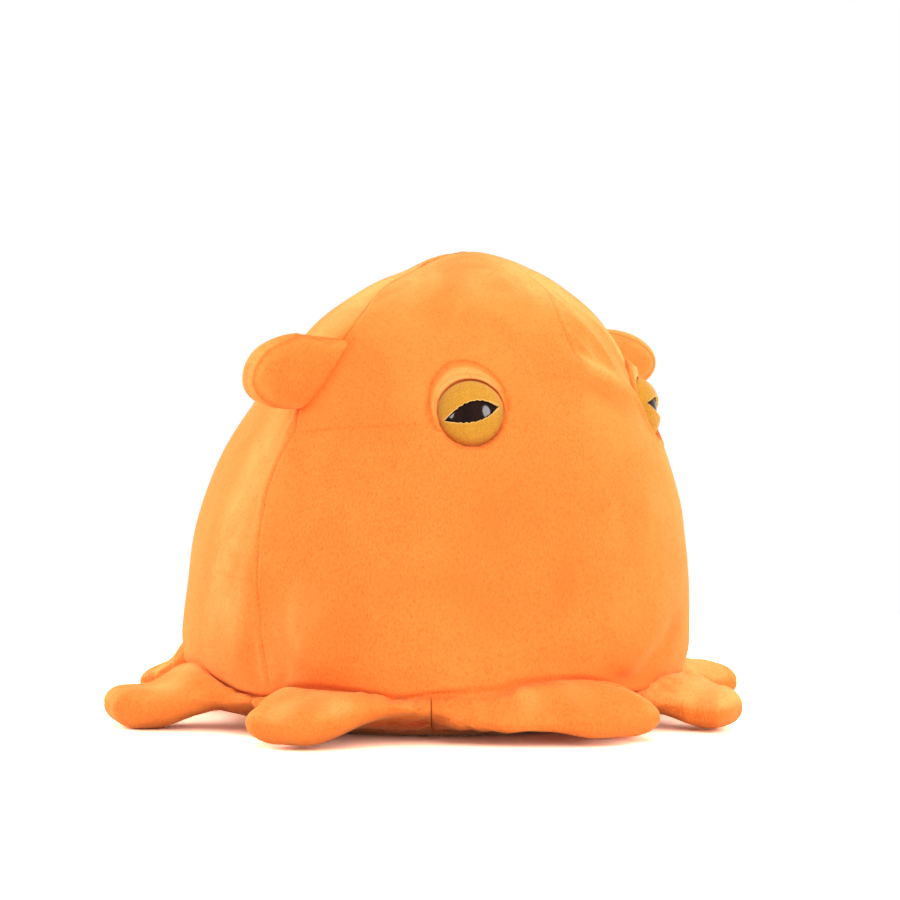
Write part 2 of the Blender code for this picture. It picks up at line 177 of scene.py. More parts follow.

# Patches of brushed pile and of painted light and shade, laid out like the folds; the last number is how much
# paler they are, or deeper
PATCHES = [
    (-98, 70, 50, 10, 86, 0.72),
    (-104, 60, 30, 10, 80, 0.25),
    (-79, 31, 22, 11, 62, 0.62),
    (-74, 47, 15, 9, 60, 0.28),
    (-18, 168, 46, 11, 0, 0.55),
    (16, 160, 26, 9, -50, 0.60),
    (-106, 158, 24, 16, 40, 0.60),
    (-30, 80, 24, 24, 0, -0.40),
    (-15, 58, 16, 8, 70, -0.35),
    (-31, 46, 18, 11, 10, -0.30),
    (-47, 57, 26, 8, 0, -0.25),
    (-64, 112, 16, 9, 0, -0.25),
    (-93, 28, 12, 8, 0, -0.40),
    (23, 43, 16, 8, 80, -0.45),
    (0, 24, 14, 6, 20, -0.45),
    (9.5, 132, 15, 3, -25, 0.55),
    (8, 124, 17, 4, -25, -0.50),
    (40, 139, 18, 9, -60, 0.50),
    (-24, 120, 14, 12, 0, -0.20),
    (150, 70, 40, 18, 60, 0.12),
    (-150, 60, 32, 18, 100, 0.10),
    (100, 92, 30, 14, 80, -0.40),
    (178, 112, 30, 16, 0, -0.30),
    (62, 42, 26, 10, 0, 0.15),
    (48, 92, 30, 12, 70, -0.30),
    (-178, 40, 36, 12, 8, -0.25),
    (-165, 90, 60, 34, 0, -0.40),
    (165, 130, 50, 30, 0, -0.30),
    (128, 60, 40, 34, 0, -0.35),
]

# Arms, shaped as the solids have them
ARM_LENGTH = 0.0250
ARM_HALF_WIDTH = 0.0180
ARM_ROOT_HEIGHT = 0.0143
ARM_HALF_DEPTH = 0.0082
ARM_TIP_HEIGHT = 0.0076
ARM_SINK_LENGTH = 0.0200
ARM_SINK_START = -0.0040
OUTLINE_SAMPLES = 500
LOBE_STEEPNESS = 6
BEND_RISE = 1.2
EDGE_ROUNDNESS = 2.4
EDGE_CROWDING = 1.7
WEB_OVERHANG = 0.0063
WEB_HALF_DEPTH = 0.0024
WEB_HEIGHT = 0.0132
WEB_SPREAD = 0.0230
WEB_STEEPNESS = 4

# Each arm: the directions of its two seams and of its middle in degrees, its shares of a plain arm's
# length past the web and half width, the angle in degrees that its tip is bent towards the toy's left,
# and its share of the height at which a plain arm's root is sewn
ARMS = {
    "arm_right_1": ((-45, 7), -14, 0.66, 1.25, 9, 1.10),
    "arm_right_2": ((-89, -45), -69, 0.90, 1.06, -4, 0.93),
    "arm_right_3": ((-134, -89), -112, 1.30, 1.00, -2, 1.07),
    "arm_right_4": ((-180, -134), -155, 0.94, 1.00, 4, 1.77),
    "arm_left_1": ((7, 47), 24, 1.04, 0.94, -5, 1.00),
    "arm_left_2": ((47, 91), 68, 1.02, 1.00, -4, 1.00),
    "arm_left_3": ((91, 135), 113, 1.10, 1.00, 3, 1.21),
    "arm_left_4": ((135, 180), 158, 0.98, 1.00, 4, 1.49),
}
ARM_ROWS = 200
ARM_COLUMNS = 60
ARM_ROOT_INSET = 0.0012
ARM_ROOT_BLEND = 0.0060
ARM_SEAM_DROP = 0.0006
ARM_EDGE_NOTCH = 0.00022
ARM_EDGE_WIDTH = 0.0006
ARM_UNDER_HEIGHT = 0.0040
WEB_NOTCH = 0.0022
WEB_NOTCH_REACH = 0.0035
ARM_FULLNESS = 0.0115
ARM_GATHER = 0.00045
ARM_GATHER_SPAN = 0.0180
ARM_GATHER_SIZE = 0.0050
ARM_LUMP = 0.0006
ARM_LUMP_SIZE = 0.030
# Painted shade on the arms' undersides
ARM_UNDER_SHADE = 0.95
ARM_UNDER_SPREAD = 1.7
WEB_UNDER_SHARE = 0.2
ARM_STROKED = 0.20
ARM_STROKED_SIZE = 0.016
# Painted light: how much paler each arm's top is drawn
ARM_TOP_PAINTED_LIGHT = {"arm_left_1": 0.95, "arm_left_2": 1.50, "arm_right_4": 0.45, "arm_right_3": 0.20,
              "arm_right_2": 0.30, "arm_right_1": 0.15}
ARM_SLACK = 0.92
ARM_SEWN_COLUMNS = 6
ARM_CLOTH_ROWS = 48
ARM_CLOTH_COLUMNS = 32
WEB_RAGGED = 0.0006
WEB_RAGGED_SIZE = 0.007

# How far the web's edge hangs towards the floor beside an arm's first and last seam, as a share, and
# over how far along the edge it comes down
WEB_HANG = {
    "arm_right_1": (1.0, 0.2),
    "arm_right_3": (0.0, 0.4),
    "arm_right_2": (0.3, 0.0),
    "arm_left_1": (1.0, 0.5),
    "arm_left_2": (0.5, 0.4),
    "arm_left_3": (0.4, 0.4),
    "arm_left_4": (0.4, 0.4),
    "arm_right_4": (0.4, 0.2),
}
HANG_REACH = 0.0280

# Fins
EAR_HEIGHT = 0.1320
EAR_DIRECTION = 93
EAR_SWEEP = 12
EAR_REACH = 0.0420
EAR_HALF_HEIGHT = 0.0136
EAR_HALF_THICKNESS = 0.0046
EAR_LIFTS = {"ear_right": 0, "ear_left": 7}
EAR_ROWS = 150
EAR_COLUMNS = 60
EAR_ROOT_LOW = 0.1188
EAR_ROOT_HIGH = 0.1432
EAR_ROOT_INSET = 0.0002
EAR_ROOT_AHEAD = math.radians(1.4)
EAR_ROOT_SHARE = 0.85
EAR_ROOT_ROUNDING = 0.0040
EAR_TIP_START = 0.0120
EAR_TIP_SQUARENESS = 2.1
EAR_SAG = 0.0024
EAR_ROUNDING = 0.0100
EAR_EDGE_ROUNDNESS = 2.4
EAR_FRONT_SHARE = 0.75
EAR_BACK_SHARE = 1.15
EAR_SEAM_INSET = 0.0030
EAR_SEAM_SKEW = 1.15
EAR_SEAM_WIDTH = 0.0006
EAR_SEAM_DEPTH = 0.0005
EAR_SEAM_SHADE = 0.28
# The skin just ahead of each fin's root is painted deeper as painted shade, with a painted dark line in the
# crease
EAR_CREASE_AHEAD = math.radians(1.2)
EAR_CREASE_REACH = 0.0042
EAR_CREASE_SHADE = 0.85
EAR_CREASE_WIDTH = 0.0005
# Painted light on the fin's rim, on a band inside its seam and on its back layer
EAR_RIM_PAINTED_LIGHT = 0.50
EAR_BAND_PAINTED_LIGHT = 0.20
EAR_BACK_PAINTED_LIGHT = 0.4
EAR_SLACK = 0.90
EAR_LUMP = 0.0004
EAR_LUMP_SIZE = 0.022
EAR_SEWN_COLUMNS = (4, 5)
EAR_CLOTH_ROWS = 36
EAR_CLOTH_COLUMNS = 32

# Eyes
EYE_HEIGHT = 0.1170
EYE_DIRECTION = 38.2
EYE_TILT = 6
LID_RADIUS = 0.0123
LID_HEIGHT = 0.0092
LID_THICKNESS = 0.0010
DOME_SQUARENESS = 2.2
OPENING_HALF_LENGTH = 0.0107
OPENING_ABOVE = 0.0042
OPENING_BELOW = 0.0032
OPENING_TILT = 14.4
OPENING_SKEW = 0.18
STEM_RADIUS = 0.0024
STEM_LENGTH = 0.0120
EYE_TURN_STEPS = 112
EYE_DOME_STEPS = 40
LID_ROWS = 150
LID_COLUMNS = 34
LID_EDGE_COLUMNS = 5
LID_FRAY = 0.00014
LID_OVERLAP = 0.00006
LID_CUT = 0.00018
SEAT_SINK = 0.0005
SOCKET_RIM = 0.0010
SOCKET_RIM_HEIGHT = 0.0006
SOCKET_SHADE = 0.6
RIM_STEPS = 32
HALVINGS = 40

# Hoods, with their widths outside the lids in millimetres at turns about the eye, 90 up and 0 at the nose
HOOD_WIDTHS = [(6, 0.9), (27, 2.0), (41, 3.0), (59, 4.1), (77, 5.7), (96, 6.9), (112, 7.1), (130, 5.8),
               (154, 3.7), (172, 2.7), (190, 1.8), (208, 0.9)]
HOOD_LIFT = 0.40
HOOD_LEAN = 0.55
HOOD_ROWS = 170
HOOD_COLUMNS = 64
HOOD_WRINKLE = 0.00030
HOOD_WRINKLE_SHADE = 0.30
HOOD_CREASE = 0.0007
HOOD_WRINKLES = 7
HOOD_WANDER = 0.9
HOOD_CREST = 1.5
HOOD_CREST_SPREAD = 1.1
HOOD_FOOT_SHADE = 0.55
HOOD_FOOT_WIDTH = 0.0006
HOOD_FOOT_REACH = 0.0030
# Painted light on the hood's top and painted shade below it
HOOD_TOP_PAINTED_LIGHT = 1.6
HOOD_PAINTED_LIGHT_TURN = 0.2
HOOD_PAINTED_SHADE = 0.5
HOOD_TIGHTNESS = 1.25
HOOD_CLOTH_ROWS = 40
HOOD_CLOTH_COLUMNS = 16

# Cloth simulation of the stuffed pieces
STUFFING_PRESSURE = 4
STUFFING_FRAMES = 20
FABRIC_MASS = 0.004
FABRIC_SLACK = -0.04
BODY_CAP = 0.0004
ARM_CAP = 0.0009
EAR_CAP = 0.0010
HOOD_CAP = 0.0003

# Light and floor
WORLD_LIGHT = 0.25
FLOOR_RADIUS = 4.0
FLOOR_DROP = 0.0002
# The paper as the camera sees it: pale, and warmer in red, as painted warm bounce light in the shadow
SEEN_FLOOR = (2.8, 2.15, 1.65)
PAPER_REACH = (0.20, 0.45)

# Each lamp: its direction and elevation in degrees, distance, size, watts, and whether only gloss shows it
LAMPS = {
    "left_back_softbox": (-165, 12, 1.3, 1.0, 24, False),
    "front_softbox": (-44, 45, 1.3, 1.0, 6.5, False),
    "low_front_softbox": (-15, 12, 1.3, 1.0, 7.5, False),
    "top_softbox": (0, 90, 1.3, 1.0, 9, False),
    "right_softbox": (90, 12, 1.3, 1.0, 20, False),
    "left_catchlight": (-88, 10, 1.2, 0.50, 26, True),
    "right_catchlight": (2, 14, 1.2, 0.50, 26, True),
}

# Camera: its direction in degrees, its distance from the toy's middle line and height, its aim and lens
CAMERA_DIRECTION = -44
CAMERA_DISTANCE = 1.100
CAMERA_HEIGHT = 0.145
AIM_ASIDE = 0.00501
AIM_HEIGHT = 0.101
CAMERA_LENS = 114.7


# Numbers along curves

def smooth_step(share):
    """Eases from 0 to 1: three times the square less twice the cube."""
    share = np.clip(share, 0, 1)
    return share * share * (3 - 2 * share)


def bell(distance, width):
    """One at no distance, falling off as a Gaussian."""
    return np.exp(-(distance / width) ** 2)


def curve_through(points, per_span):
    """A smooth curve through points, each span a Catmull-Rom cubic of its four nearest points."""
    points = np.asarray(points, float)
    run = np.vstack((2 * points[0] - points[1], points, 2 * points[-1] - points[-2]))
    t = np.linspace(0, 1, per_span, endpoint=False)[:, None]
    spans = []
    for a, b, c, d in zip(run, run[1:], run[2:], run[3:]):
        spans.append(0.5 * (2 * b + (c - a) * t + (2 * a - 5 * b + 4 * c - d) * t ** 2
                            + (3 * b - a - 3 * c + d) * t ** 3))
    return np.vstack(spans + [points[-1:]])


def nearest_on(curve, points):
    """For each point, its distance to a polyline and how far along the polyline the nearest spot lies."""
    best = np.full(len(points), np.inf)
    along = np.zeros(len(points))
    travelled = 0.0
    for start, end in zip(curve, curve[1:]):
        span = end - start
        length = np.linalg.norm(span)
        share = np.clip((points - start) @ span / max(length * length, 1e-18), 0, 1)
        gap = np.linalg.norm(points - start - share[:, None] * span, axis=1)
        nearer = gap < best
        best = np.where(nearer, gap, best)
        along = np.where(nearer, travelled + share * length, along)
        travelled += length
    return best, along, travelled


def forward_of(direction):
    """The level unit vector that faces a direction in radians from the front."""
    return np.array((math.sin(direction), -math.cos(direction), 0))


def leftward_of(direction):
    """The level unit vector a quarter turn on from a direction, towards the toy's left in front."""
    return np.array((math.cos(direction), math.sin(direction), 0))


def evenly(line, count):
    """Points spaced evenly along a line through points."""
    run = np.concatenate(([0], np.cumsum(np.linalg.norm(np.diff(line, axis=0), axis=1))))
    even = np.linspace(0, run[-1], count)
    return np.stack([np.interp(even, run, line[:, axis]) for axis in range(line.shape[1])], axis=1)


def lumps(points, size, seed):
    """Smooth uneven stuffing: a sum of eight sine waves that run in fixed odd directions through space,
    about one size long, as a number from about -1 to 1."""
    random = np.random.default_rng(seed)
    total = np.zeros(points.shape[:-1])
    for _ in range(8):
        way = random.normal(size=3)
        way *= 2 * np.pi / (size * random.uniform(0.8, 1.7)) / np.linalg.norm(way)
        total += np.sin(points @ way + random.uniform(0, 2 * np.pi))
    return total / 2.6


# Meshes

def grid_normals(grid, wrap):
    """Unit normals of a grid of points: the cross product of its differences along and across."""
    if wrap:
        across = np.roll(grid, -1, axis=1) - np.roll(grid, 1, axis=1)
    else:
        across = np.gradient(grid, axis=1)
    normals = np.cross(np.gradient(grid, axis=0), across)
    size = np.linalg.norm(normals, axis=2, keepdims=True)
    return normals / np.maximum(size, 1e-12)


def out_and_back(front, back):
    """Rows that run out along one layer and back along the other, from the edge that they share."""
    return np.concatenate((front, back[:, -2::-1]), axis=1)


def sewn_ends(grid, first, last):
    """Marks a grid's end rows and its first and last columns as sewn."""
    sewn = np.zeros(grid.shape[:2], bool)
    sewn[[0, -1]] = True
    sewn[:, :first] = True
    sewn[:, grid.shape[1] - last:] = True
    return sewn


def to_outline(places, outline):
    """Distances from a layer's places to the points of its outline, nothing in the last column."""
    gap = np.full(places.shape[:2], np.inf)
    for spot in outline:
        gap = np.minimum(gap, np.linalg.norm(places - spot, axis=2))
    gap[:, -1] = 0
    return gap


def surface(name, grid, finish, shades=None):
    """A closed smooth mesh over rows of points. Each row is a loop, the first and the last row are
    closed on their middle point, and shades are numbers kept on the points by name."""
    rows, columns = grid.shape[:2]
    middles = grid[[0, -1]].mean(axis=1)
    points = np.vstack((grid.reshape(-1, 3), middles))
    row, column = np.meshgrid(np.arange(rows - 1), np.arange(columns), indexing="ij")
    after = (column + 1) % columns
    quads = np.stack((row * columns + column, row * columns + after,
                      (row + 1) * columns + after, (row + 1) * columns + column), axis=-1).reshape(-1, 4)
    around = np.arange(columns)
    step = (around + 1) % columns
    top = np.stack((np.full(columns, rows * columns), step, around), axis=-1)
    last = (rows - 1) * columns
    foot = np.stack((np.full(columns, rows * columns + 1), last + around, last + step), axis=-1)
    corners = np.concatenate((quads.ravel(), top.ravel(), foot.ravel()))
    starts = np.concatenate((np.arange(len(quads)) * 4, len(quads) * 4 + np.arange(2 * columns) * 3))
    mesh = bpy.data.meshes.new(name)
    mesh.vertices.add(len(points))
    mesh.vertices.foreach_set("co", points.astype(np.float32).ravel())
    mesh.loops.add(len(corners))
    mesh.loops.foreach_set("vertex_index", corners.astype(np.int32))
    mesh.polygons.add(len(starts))
    mesh.polygons.foreach_set("loop_start", starts.astype(np.int32))
    mesh.update(calc_edges=True)
    if signed_volume(points, quads, top, foot) < 0:
        mesh.flip_normals()
    mesh.shade_smooth()
    for label, shade in (shades or {}).items():
        kept = mesh.attributes.new(label, "FLOAT", "POINT")
        values = np.concatenate((shade.ravel(), shade[0].mean(keepdims=True), shade[-1].mean(keepdims=True)))
        kept.data.foreach_set("value", values.astype(np.float32))
    made = bpy.data.objects.new(name, mesh)
    bpy.context.scene.collection.objects.link(made)
    if finish:
        made.data.materials.append(finish)
    return made


def signed_volume(points, quads, *fans):
    """Six times the volume inside the faces, above zero when they face out."""
    faces = np.vstack((quads[:, [0, 1, 2]], quads[:, [0, 2, 3]], *fans))
    a, b, c = (points[faces[:, i]] for i in range(3))
    return np.einsum("ij,ij->i", a, np.cross(b, c)).sum()


def carried(count, places, wrap):
    """For each of count fine lines, its share of each coarse line at the places: linear between them, then
    averaged over the space between two."""
    stride = max(int(round(count / len(places))), 1)
    box = np.ones(stride) / stride
    shares = []
    for unit in np.eye(len(places)):
        line = np.interp(np.arange(count), places, unit, period=count if wrap else None)
        ends = "wrap" if wrap else "edge"
        padded = np.pad(line, (stride // 2, stride - 1 - stride // 2), ends)
        shares.append(np.convolve(padded, box, "valid"))
    return np.array(shares).T


def stuffed(grid, held, cap, rows, columns):
    """The grid after a cloth simulation: a coarse copy, held where it is sewn, is blown up from inside. Its
    movement, no more than the cap, is carried to the fine grid."""
    row_at = np.linspace(0, grid.shape[0] - 1, rows).round().astype(int)
    column_at = np.linspace(0, grid.shape[1], columns, endpoint=False).round().astype(int)
    coarse = grid[np.ix_(row_at, column_at)]
    trial = surface("stuffing_trial", coarse, None)
    pins = trial.vertex_groups.new(name="sewn")
    pins.add(np.flatnonzero(held[np.ix_(row_at, column_at)]).tolist(), 1.0, "REPLACE")
    cloth = trial.modifiers.new("stuffing", "CLOTH")
    cloth.point_cache.frame_end = STUFFING_FRAMES
    fabric = cloth.settings
    fabric.use_pressure = True
    fabric.uniform_pressure_force = STUFFING_PRESSURE
    fabric.mass = FABRIC_MASS
    fabric.shrink_min = FABRIC_SLACK
    fabric.vertex_group_mass = "sewn"
    fabric.effector_weights.gravity = 0
    for moment in range(1, STUFFING_FRAMES + 1):
        bpy.context.scene.frame_set(moment)
    settled = trial.evaluated_get(bpy.context.evaluated_depsgraph_get()).data
    places = np.empty(len(settled.vertices) * 3, np.float32)
    settled.vertices.foreach_get("co", places)
    bpy.data.objects.remove(trial)
    bpy.context.scene.frame_set(1)
    shift = places.reshape(-1, 3)[:rows * columns].reshape(rows, columns, 3) - coarse
    length = np.linalg.norm(shift, axis=2, keepdims=True)
    shift *= cap / np.maximum(length, cap)
    along = carried(grid.shape[0], row_at, False)
    across = carried(grid.shape[1], column_at, True)
    return grid + np.einsum("ri,cj,ijk->rck", along, across, shift, optimize=True)


def settle(piece, node):
    """Fixes a piece to the toy in the place of its solid, which it hides."""
    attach(piece, "root")
    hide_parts(node)


# Finishes

def add_node(tree, kind, inputs=None, **settings):
    """A shader node with its settings, and its inputs linked or set."""
    made = tree.nodes.new(kind)
    for key, value in settings.items():
        setattr(made, key, value)
    for key, value in (inputs or {}).items():
        if isinstance(value, bpy.types.NodeSocket):
            tree.links.new(value, made.inputs[key])
        else:
            made.inputs[key].default_value = value
    return made


def blend(tree, share, first, second):
    """A colour between two colours."""
    return add_node(tree, "ShaderNodeMix", {0: share, 6: first, 7: second}, data_type="RGBA").outputs[2]


def spread_out(tree, value, low, high, to_low=0.0, to_high=1.0):
    """Stretches a value from one range to another, clamped."""
    inputs = {"Value": value, "From Min": low, "From Max": high, "To Min": to_low, "To Max": to_high}
    return add_node(tree, "ShaderNodeMapRange", inputs).outputs["Result"]


def calculate(tree, operation, first, second):
    """Arithmetic on two values."""
    return add_node(tree, "ShaderNodeMath", {0: first, 1: second}, operation=operation).outputs["Value"]


def noise(tree, place, scale, detail, roughness=0.5, distortion=0.0):
    """A noise value at a place."""
    inputs = {"Vector": place, "Scale": scale, "Detail": detail, "Roughness": roughness,
              "Distortion": distortion}
    return add_node(tree, "ShaderNodeTexNoise", inputs).outputs["Fac"]


def new_material(name):
    """A new node material, with its tree and its Principled shader."""
    made = bpy.data.materials.new(name)
    made.use_nodes = True
    return made, made.node_tree, made.node_tree.nodes["Principled BSDF"]


def object_place(tree, scale=(1, 1, 1)):
    """Object coordinates, stretched along the axes."""
    place = add_node(tree, "ShaderNodeTexCoord").outputs["Object"]
    return add_node(tree, "ShaderNodeMapping", {"Vector": place, "Scale": scale}).outputs["Vector"]


def own_number(tree, name):
    """A number that the piece keeps on its points."""
    return add_node(tree, "ShaderNodeAttribute", attribute_name=name).outputs["Fac"]


def raised(tree, height, strength, distance, **more):
    """The normal of a relief whose height is given in shares of a distance."""
    inputs = {"Height": height, "Strength": strength, "Distance": distance, **more}
    return add_node(tree, "ShaderNodeBump", inputs).outputs["Normal"]


def finish_shader(tree, shader, tone, normal, values):
    """Gives a shader its colour and normal, and its plain values by socket."""
    tree.links.new(tone, shader.inputs["Base Color"])
    tree.links.new(normal, shader.inputs["Normal"])
    for socket, value in values.items():
        shader.inputs[socket].default_value = value


def plush_finish(name, rows, nap):
    """Short orange pile. Fine fibres lie in tufts about a millimetre apart with deeper specks between them,
    brushed into paler and deeper patches, some of them painted light and shade; the pile is darker along the
    seams, with painted shade in creases and underneath.
    Rows is how plainly the knitted rows of the backing show, and nap how high the tufts stand."""
    made, tree, shader = new_material(name)
    upright = object_place(tree, (1, 1, 0.55))
    even = object_place(tree)
    fibre = noise(tree, upright, 1300, 3, 0.65)
    tuft = noise(tree, even, 800, 2, 0.5, 0.4)
    brushed = noise(tree, object_place(tree, (1, 1, 0.6)), 42, 3, 0.55, 0.8)
    broad = noise(tree, even, 14, 2, 0.5, 0.3)
    wave = add_node(tree, "ShaderNodeTexWave", {"Vector": even, "Scale": 230, "Distortion": 14.0,
                                                "Detail": 2.0, "Detail Scale": 0.35},
                    wave_type="RINGS", rings_direction="SPHERICAL").outputs["Fac"]
    turns = calculate(tree, "MULTIPLY", own_number(tree, "seam_run"), 2 * math.pi / STITCH_LENGTH)
    stitch = spread_out(tree, calculate(tree, "COSINE", turns, 0), -1, 1, 0.35, 1)
    stitched_and_crease_shade = calculate(tree, "MULTIPLY", own_number(tree, "seam"), stitch)
    uneven = spread_out(tree, brushed, 0.36, 0.64, 0.40, 1.35)
    brushed_and_painted_shading = calculate(tree, "MULTIPLY", own_number(tree, "brushed_and_painted_shading"), uneven)
    patches = calculate(tree, "ADD", spread_out(tree, brushed, 0.35, 0.68, -0.20, 0.24),
                        spread_out(tree, broad, 0.3, 0.7, -0.12, 0.16))
    deep, plain, pale = (0.92, 0.180, 0.020, 1), (0.96, 0.245, 0.036, 1), (0.98, 0.315, 0.058, 1)
    # Each colour over the ones before it, by its share
    layers = [
        (spread_out(tree, fibre, 0.30, 0.50), plain),
        (spread_out(tree, fibre, 0.52, 0.75, 0, 0.45), pale),
        (spread_out(tree, patches, 0, 0.5, 0, 0.60), pale),
        (spread_out(tree, patches, -0.35, 0, 0.38, 0), deep),
        # Paler and deeper by brushed pile and by painted light and shade
        (spread_out(tree, brushed_and_painted_shading, 0, 1), (1.0, 0.42, 0.105, 1)),
        (spread_out(tree, brushed_and_painted_shading, -1, 0, 1, 0), (0.90, 0.145, 0.012, 1)),
        (spread_out(tree, noise(tree, even, 1000, 1, 0.4), 0.58, 0.72, 0, 0.34), (0.84, 0.120, 0.010, 1)),
        # Painted shade underneath and in creases
        (calculate(tree, "MULTIPLY", own_number(tree, "under"), 0.96), (0.36, 0.030, 0.002, 1)),
        # Darker along the seams, and painted shade in creases
        (calculate(tree, "MULTIPLY", stitched_and_crease_shade, 0.66), (0.62, 0.075, 0.005, 1)),
    ]
    tone = deep
    for share, colour in layers:
        tone = blend(tree, share, tone, colour)
    pile = calculate(tree, "MULTIPLY", fibre, 0.6)
    for height, share in ((tuft, 0.9), (wave, rows), (stitched_and_crease_shade, -0.8)):
        pile = calculate(tree, "ADD", pile, calculate(tree, "MULTIPLY", height, share))
    fine = raised(tree, pile, 0.55, nap)
    swirl = raised(tree, brushed, 0.35, 0.0022, Normal=fine)
    finish_shader(tree, shader, tone, swirl, {
        "Roughness": 0.95, "Specular IOR Level": 0.12, "Sheen Weight": 0.30, "Sheen Roughness": 0.42,
        "Sheen Tint": (1.0, 0.70, 0.30, 1)})
    return made


def felt_finish():
    """Ochre felt: short matted fibres, darker between them, with a pale cut edge."""
    made, tree, shader = new_material("ochre_felt")
    even = object_place(tree)
    matted = noise(tree, even, 2600, 3, 0.7, 0.6)
    clump = noise(tree, even, 900, 2, 0.5)
    tone = blend(tree, spread_out(tree, matted, 0.33, 0.66), (0.44, 0.185, 0.012, 1), (0.82, 0.38, 0.034, 1))
    tone = blend(tree, spread_out(tree, clump, 0.4, 0.7, 0, 0.35), tone, (0.60, 0.23, 0.015, 1))
    tone = blend(tree, own_number(tree, "cut_edge"), tone, (0.96, 0.58, 0.17, 1))
    height = calculate(tree, "ADD", matted, calculate(tree, "MULTIPLY", clump, 0.5))
    finish_shader(tree, shader, tone, raised(tree, height, 0.6, 0.0003), {
        "Roughness": 0.95, "Specular IOR Level": 0.12, "Sheen Weight": 0.12, "Sheen Roughness": 0.5})
    return made


def eye_finish():
    """Moulded near-black plastic, polished, with a brown cast and the faintest waviness."""
    made, tree, shader = new_material("eye_gloss")
    cloud = noise(tree, object_place(tree), 260, 2)
    share = spread_out(tree, cloud, 0.35, 0.65)
    tone = blend(tree, share, (0.010, 0.003, 0.002, 1), (0.020, 0.006, 0.003, 1))
    finish_shader(tree, shader, tone, raised(tree, cloud, 0.05, 0.0002), {
        "Roughness": 0.10, "IOR": 1.36, "Specular IOR Level": 0.18})
    return made


def washer_finish():
    """Off-white moulded plastic with a fine sand texture and slight yellowing."""
    made, tree, shader = new_material("washer_plastic")
    even = object_place(tree)
    grain = noise(tree, even, 3000, 2, 0.6)
    cloud = noise(tree, even, 120, 2)
    tone = blend(tree, spread_out(tree, cloud, 0.3, 0.7), (0.72, 0.70, 0.62, 1), (0.80, 0.79, 0.75, 1))
    finish_shader(tree, shader, tone, raised(tree, grain, 0.3, 0.0001), {"Roughness": 0.45})
    return made


# Body

def body_radius(height, direction):
    """Radius of the skin: a superellipse dome with a fuller band round the crown above the widest ring, a
    rounded tuck below it, and a low ridge along each side seam."""
    height, direction = np.broadcast_arrays(np.asarray(height, float), direction)
    rise = np.clip((height - WIDEST_HEIGHT) / (BODY_HEIGHT - WIDEST_HEIGHT), 0, 1)
    drop = np.clip(1 - height / WIDEST_HEIGHT, 0, 1)
    swell = CROWN_SWELL * bell(height - CROWN_SWELL_HEIGHT, CROWN_SWELL_SPREAD)
    dome = BODY_RADIUS * (1 - rise ** DOME_SHOULDER) ** (1 / DOME_FULLNESS)
    dome = dome + swell * np.minimum((1 - rise) / CROWN_ROUNDING, 1) ** 0.5
    tuck = BASE_RADIUS + (BODY_RADIUS - BASE_RADIUS) * np.sqrt(1 - drop ** TUCK_FULLNESS)
    radius = np.where(height >= WIDEST_HEIGHT, dome, tuck)
    wrapped = (direction + np.pi) % (2 * np.pi) - np.pi
    ridge = SIDE_SEAM_RIDGE * np.exp(-np.abs(np.abs(wrapped) - np.pi / 2) / RIDGE_SPREAD)
    return radius + ridge * np.clip(radius / BODY_RADIUS, 0, 1) * np.clip(height / WIDEST_HEIGHT, 0, 1)


def body_lean(height):
    """How far the middle of the dome has moved forward at a height."""
    rise = np.clip((height - WIDEST_HEIGHT) / (BODY_HEIGHT - WIDEST_HEIGHT), 0, 1)
    return CROWN_LEAN * rise ** LEAN_RISE


def body_points(direction, height):
    """Points on the skin in directions from the front, in radians."""
    radius = body_radius(height, direction)
    height = np.broadcast_to(height, radius.shape)
    return np.stack((radius * np.sin(direction), -radius * np.cos(direction) - body_lean(height), height), -1)


def on_skin(course):
    """A smooth seam line on the skin through pairs of a direction in degrees and a height in mm."""
    course = curve_through(course, 8)
    return body_points(np.radians(course[:, 0]), course[:, 1] * MM)


def mirrored(course):
    """The same course on the toy's other side."""
    return [(-direction, height) for direction, height in course]


def crowded(low, high, count, crowds, closed):
    """Values from low to high, closer together near each crowd's centre: evenly spaced shares of the
    running total of one plus a bell at each crowd."""
    fine = np.linspace(low, high, 4000)
    density = 1 + sum(weight * bell(fine - centre, width) for centre, weight, width in crowds)
    total = np.concatenate(([0], np.cumsum((density[1:] + density[:-1]) / 2)))
    wanted = np.linspace(0, total[-1], count + 1)[:-1] if closed else np.linspace(0, total[-1], count)
    return np.interp(wanted, total, fine)


def seam_direction(height):
    """How far round from the front the side seam lies at a height."""
    course = curve_through(SIDE_SEAM, 8)
    return np.radians(np.interp(height, course[:, 1] * MM, -course[:, 0]))


def body_columns():
    """The directions of the skin's columns, crowded at the side seams and in front."""
    crowds = [(side * np.pi / 2, CROWD_SEAM, CROWD_SEAM_SPREAD) for side in (-1, 1)]
    crowds.append((0, CROWD_SEAM / 2, CROWD_SEAM_SPREAD))
    return crowded(-np.pi, np.pi, BODY_COLUMNS, crowds, True)


def body_grid():
    """The skin's rows of points from the crown to the middle of the base. Dome rows lie at even steps of
    the angle whose cosine is their share of the height, and tuck rows at even steps of the tuck's. The
    columns near each side turn with the side seam."""
    quarter = np.pi / 2
    directions = body_columns()
    dome_height = BODY_HEIGHT - WIDEST_HEIGHT
    dart_angle = math.acos((EYE_DART[2][1] * MM - WIDEST_HEIGHT) / dome_height)
    spread = CROWD_DART_SPREAD / dome_height
    angles = crowded(0.012, quarter, DOME_ROWS, [(dart_angle, CROWD_DART, spread)], False)
    dome = WIDEST_HEIGHT + dome_height * np.cos(angles)
    tuck = WIDEST_HEIGHT * (1 - np.sin(np.linspace(0, quarter, TUCK_ROWS + 1)[1:]))
    heights = np.concatenate((dome, tuck))[:, None]
    warp = bell(np.abs(directions) - quarter, SEAM_WARP) * np.sign(directions)
    skin = body_points(directions + warp * (seam_direction(heights) - quarter), heights)
    shares = np.linspace(1, 0.02, BASE_ROWS + 1)[1:, None, None]
    base = skin[-1] * shares
    return np.vstack((skin, base))


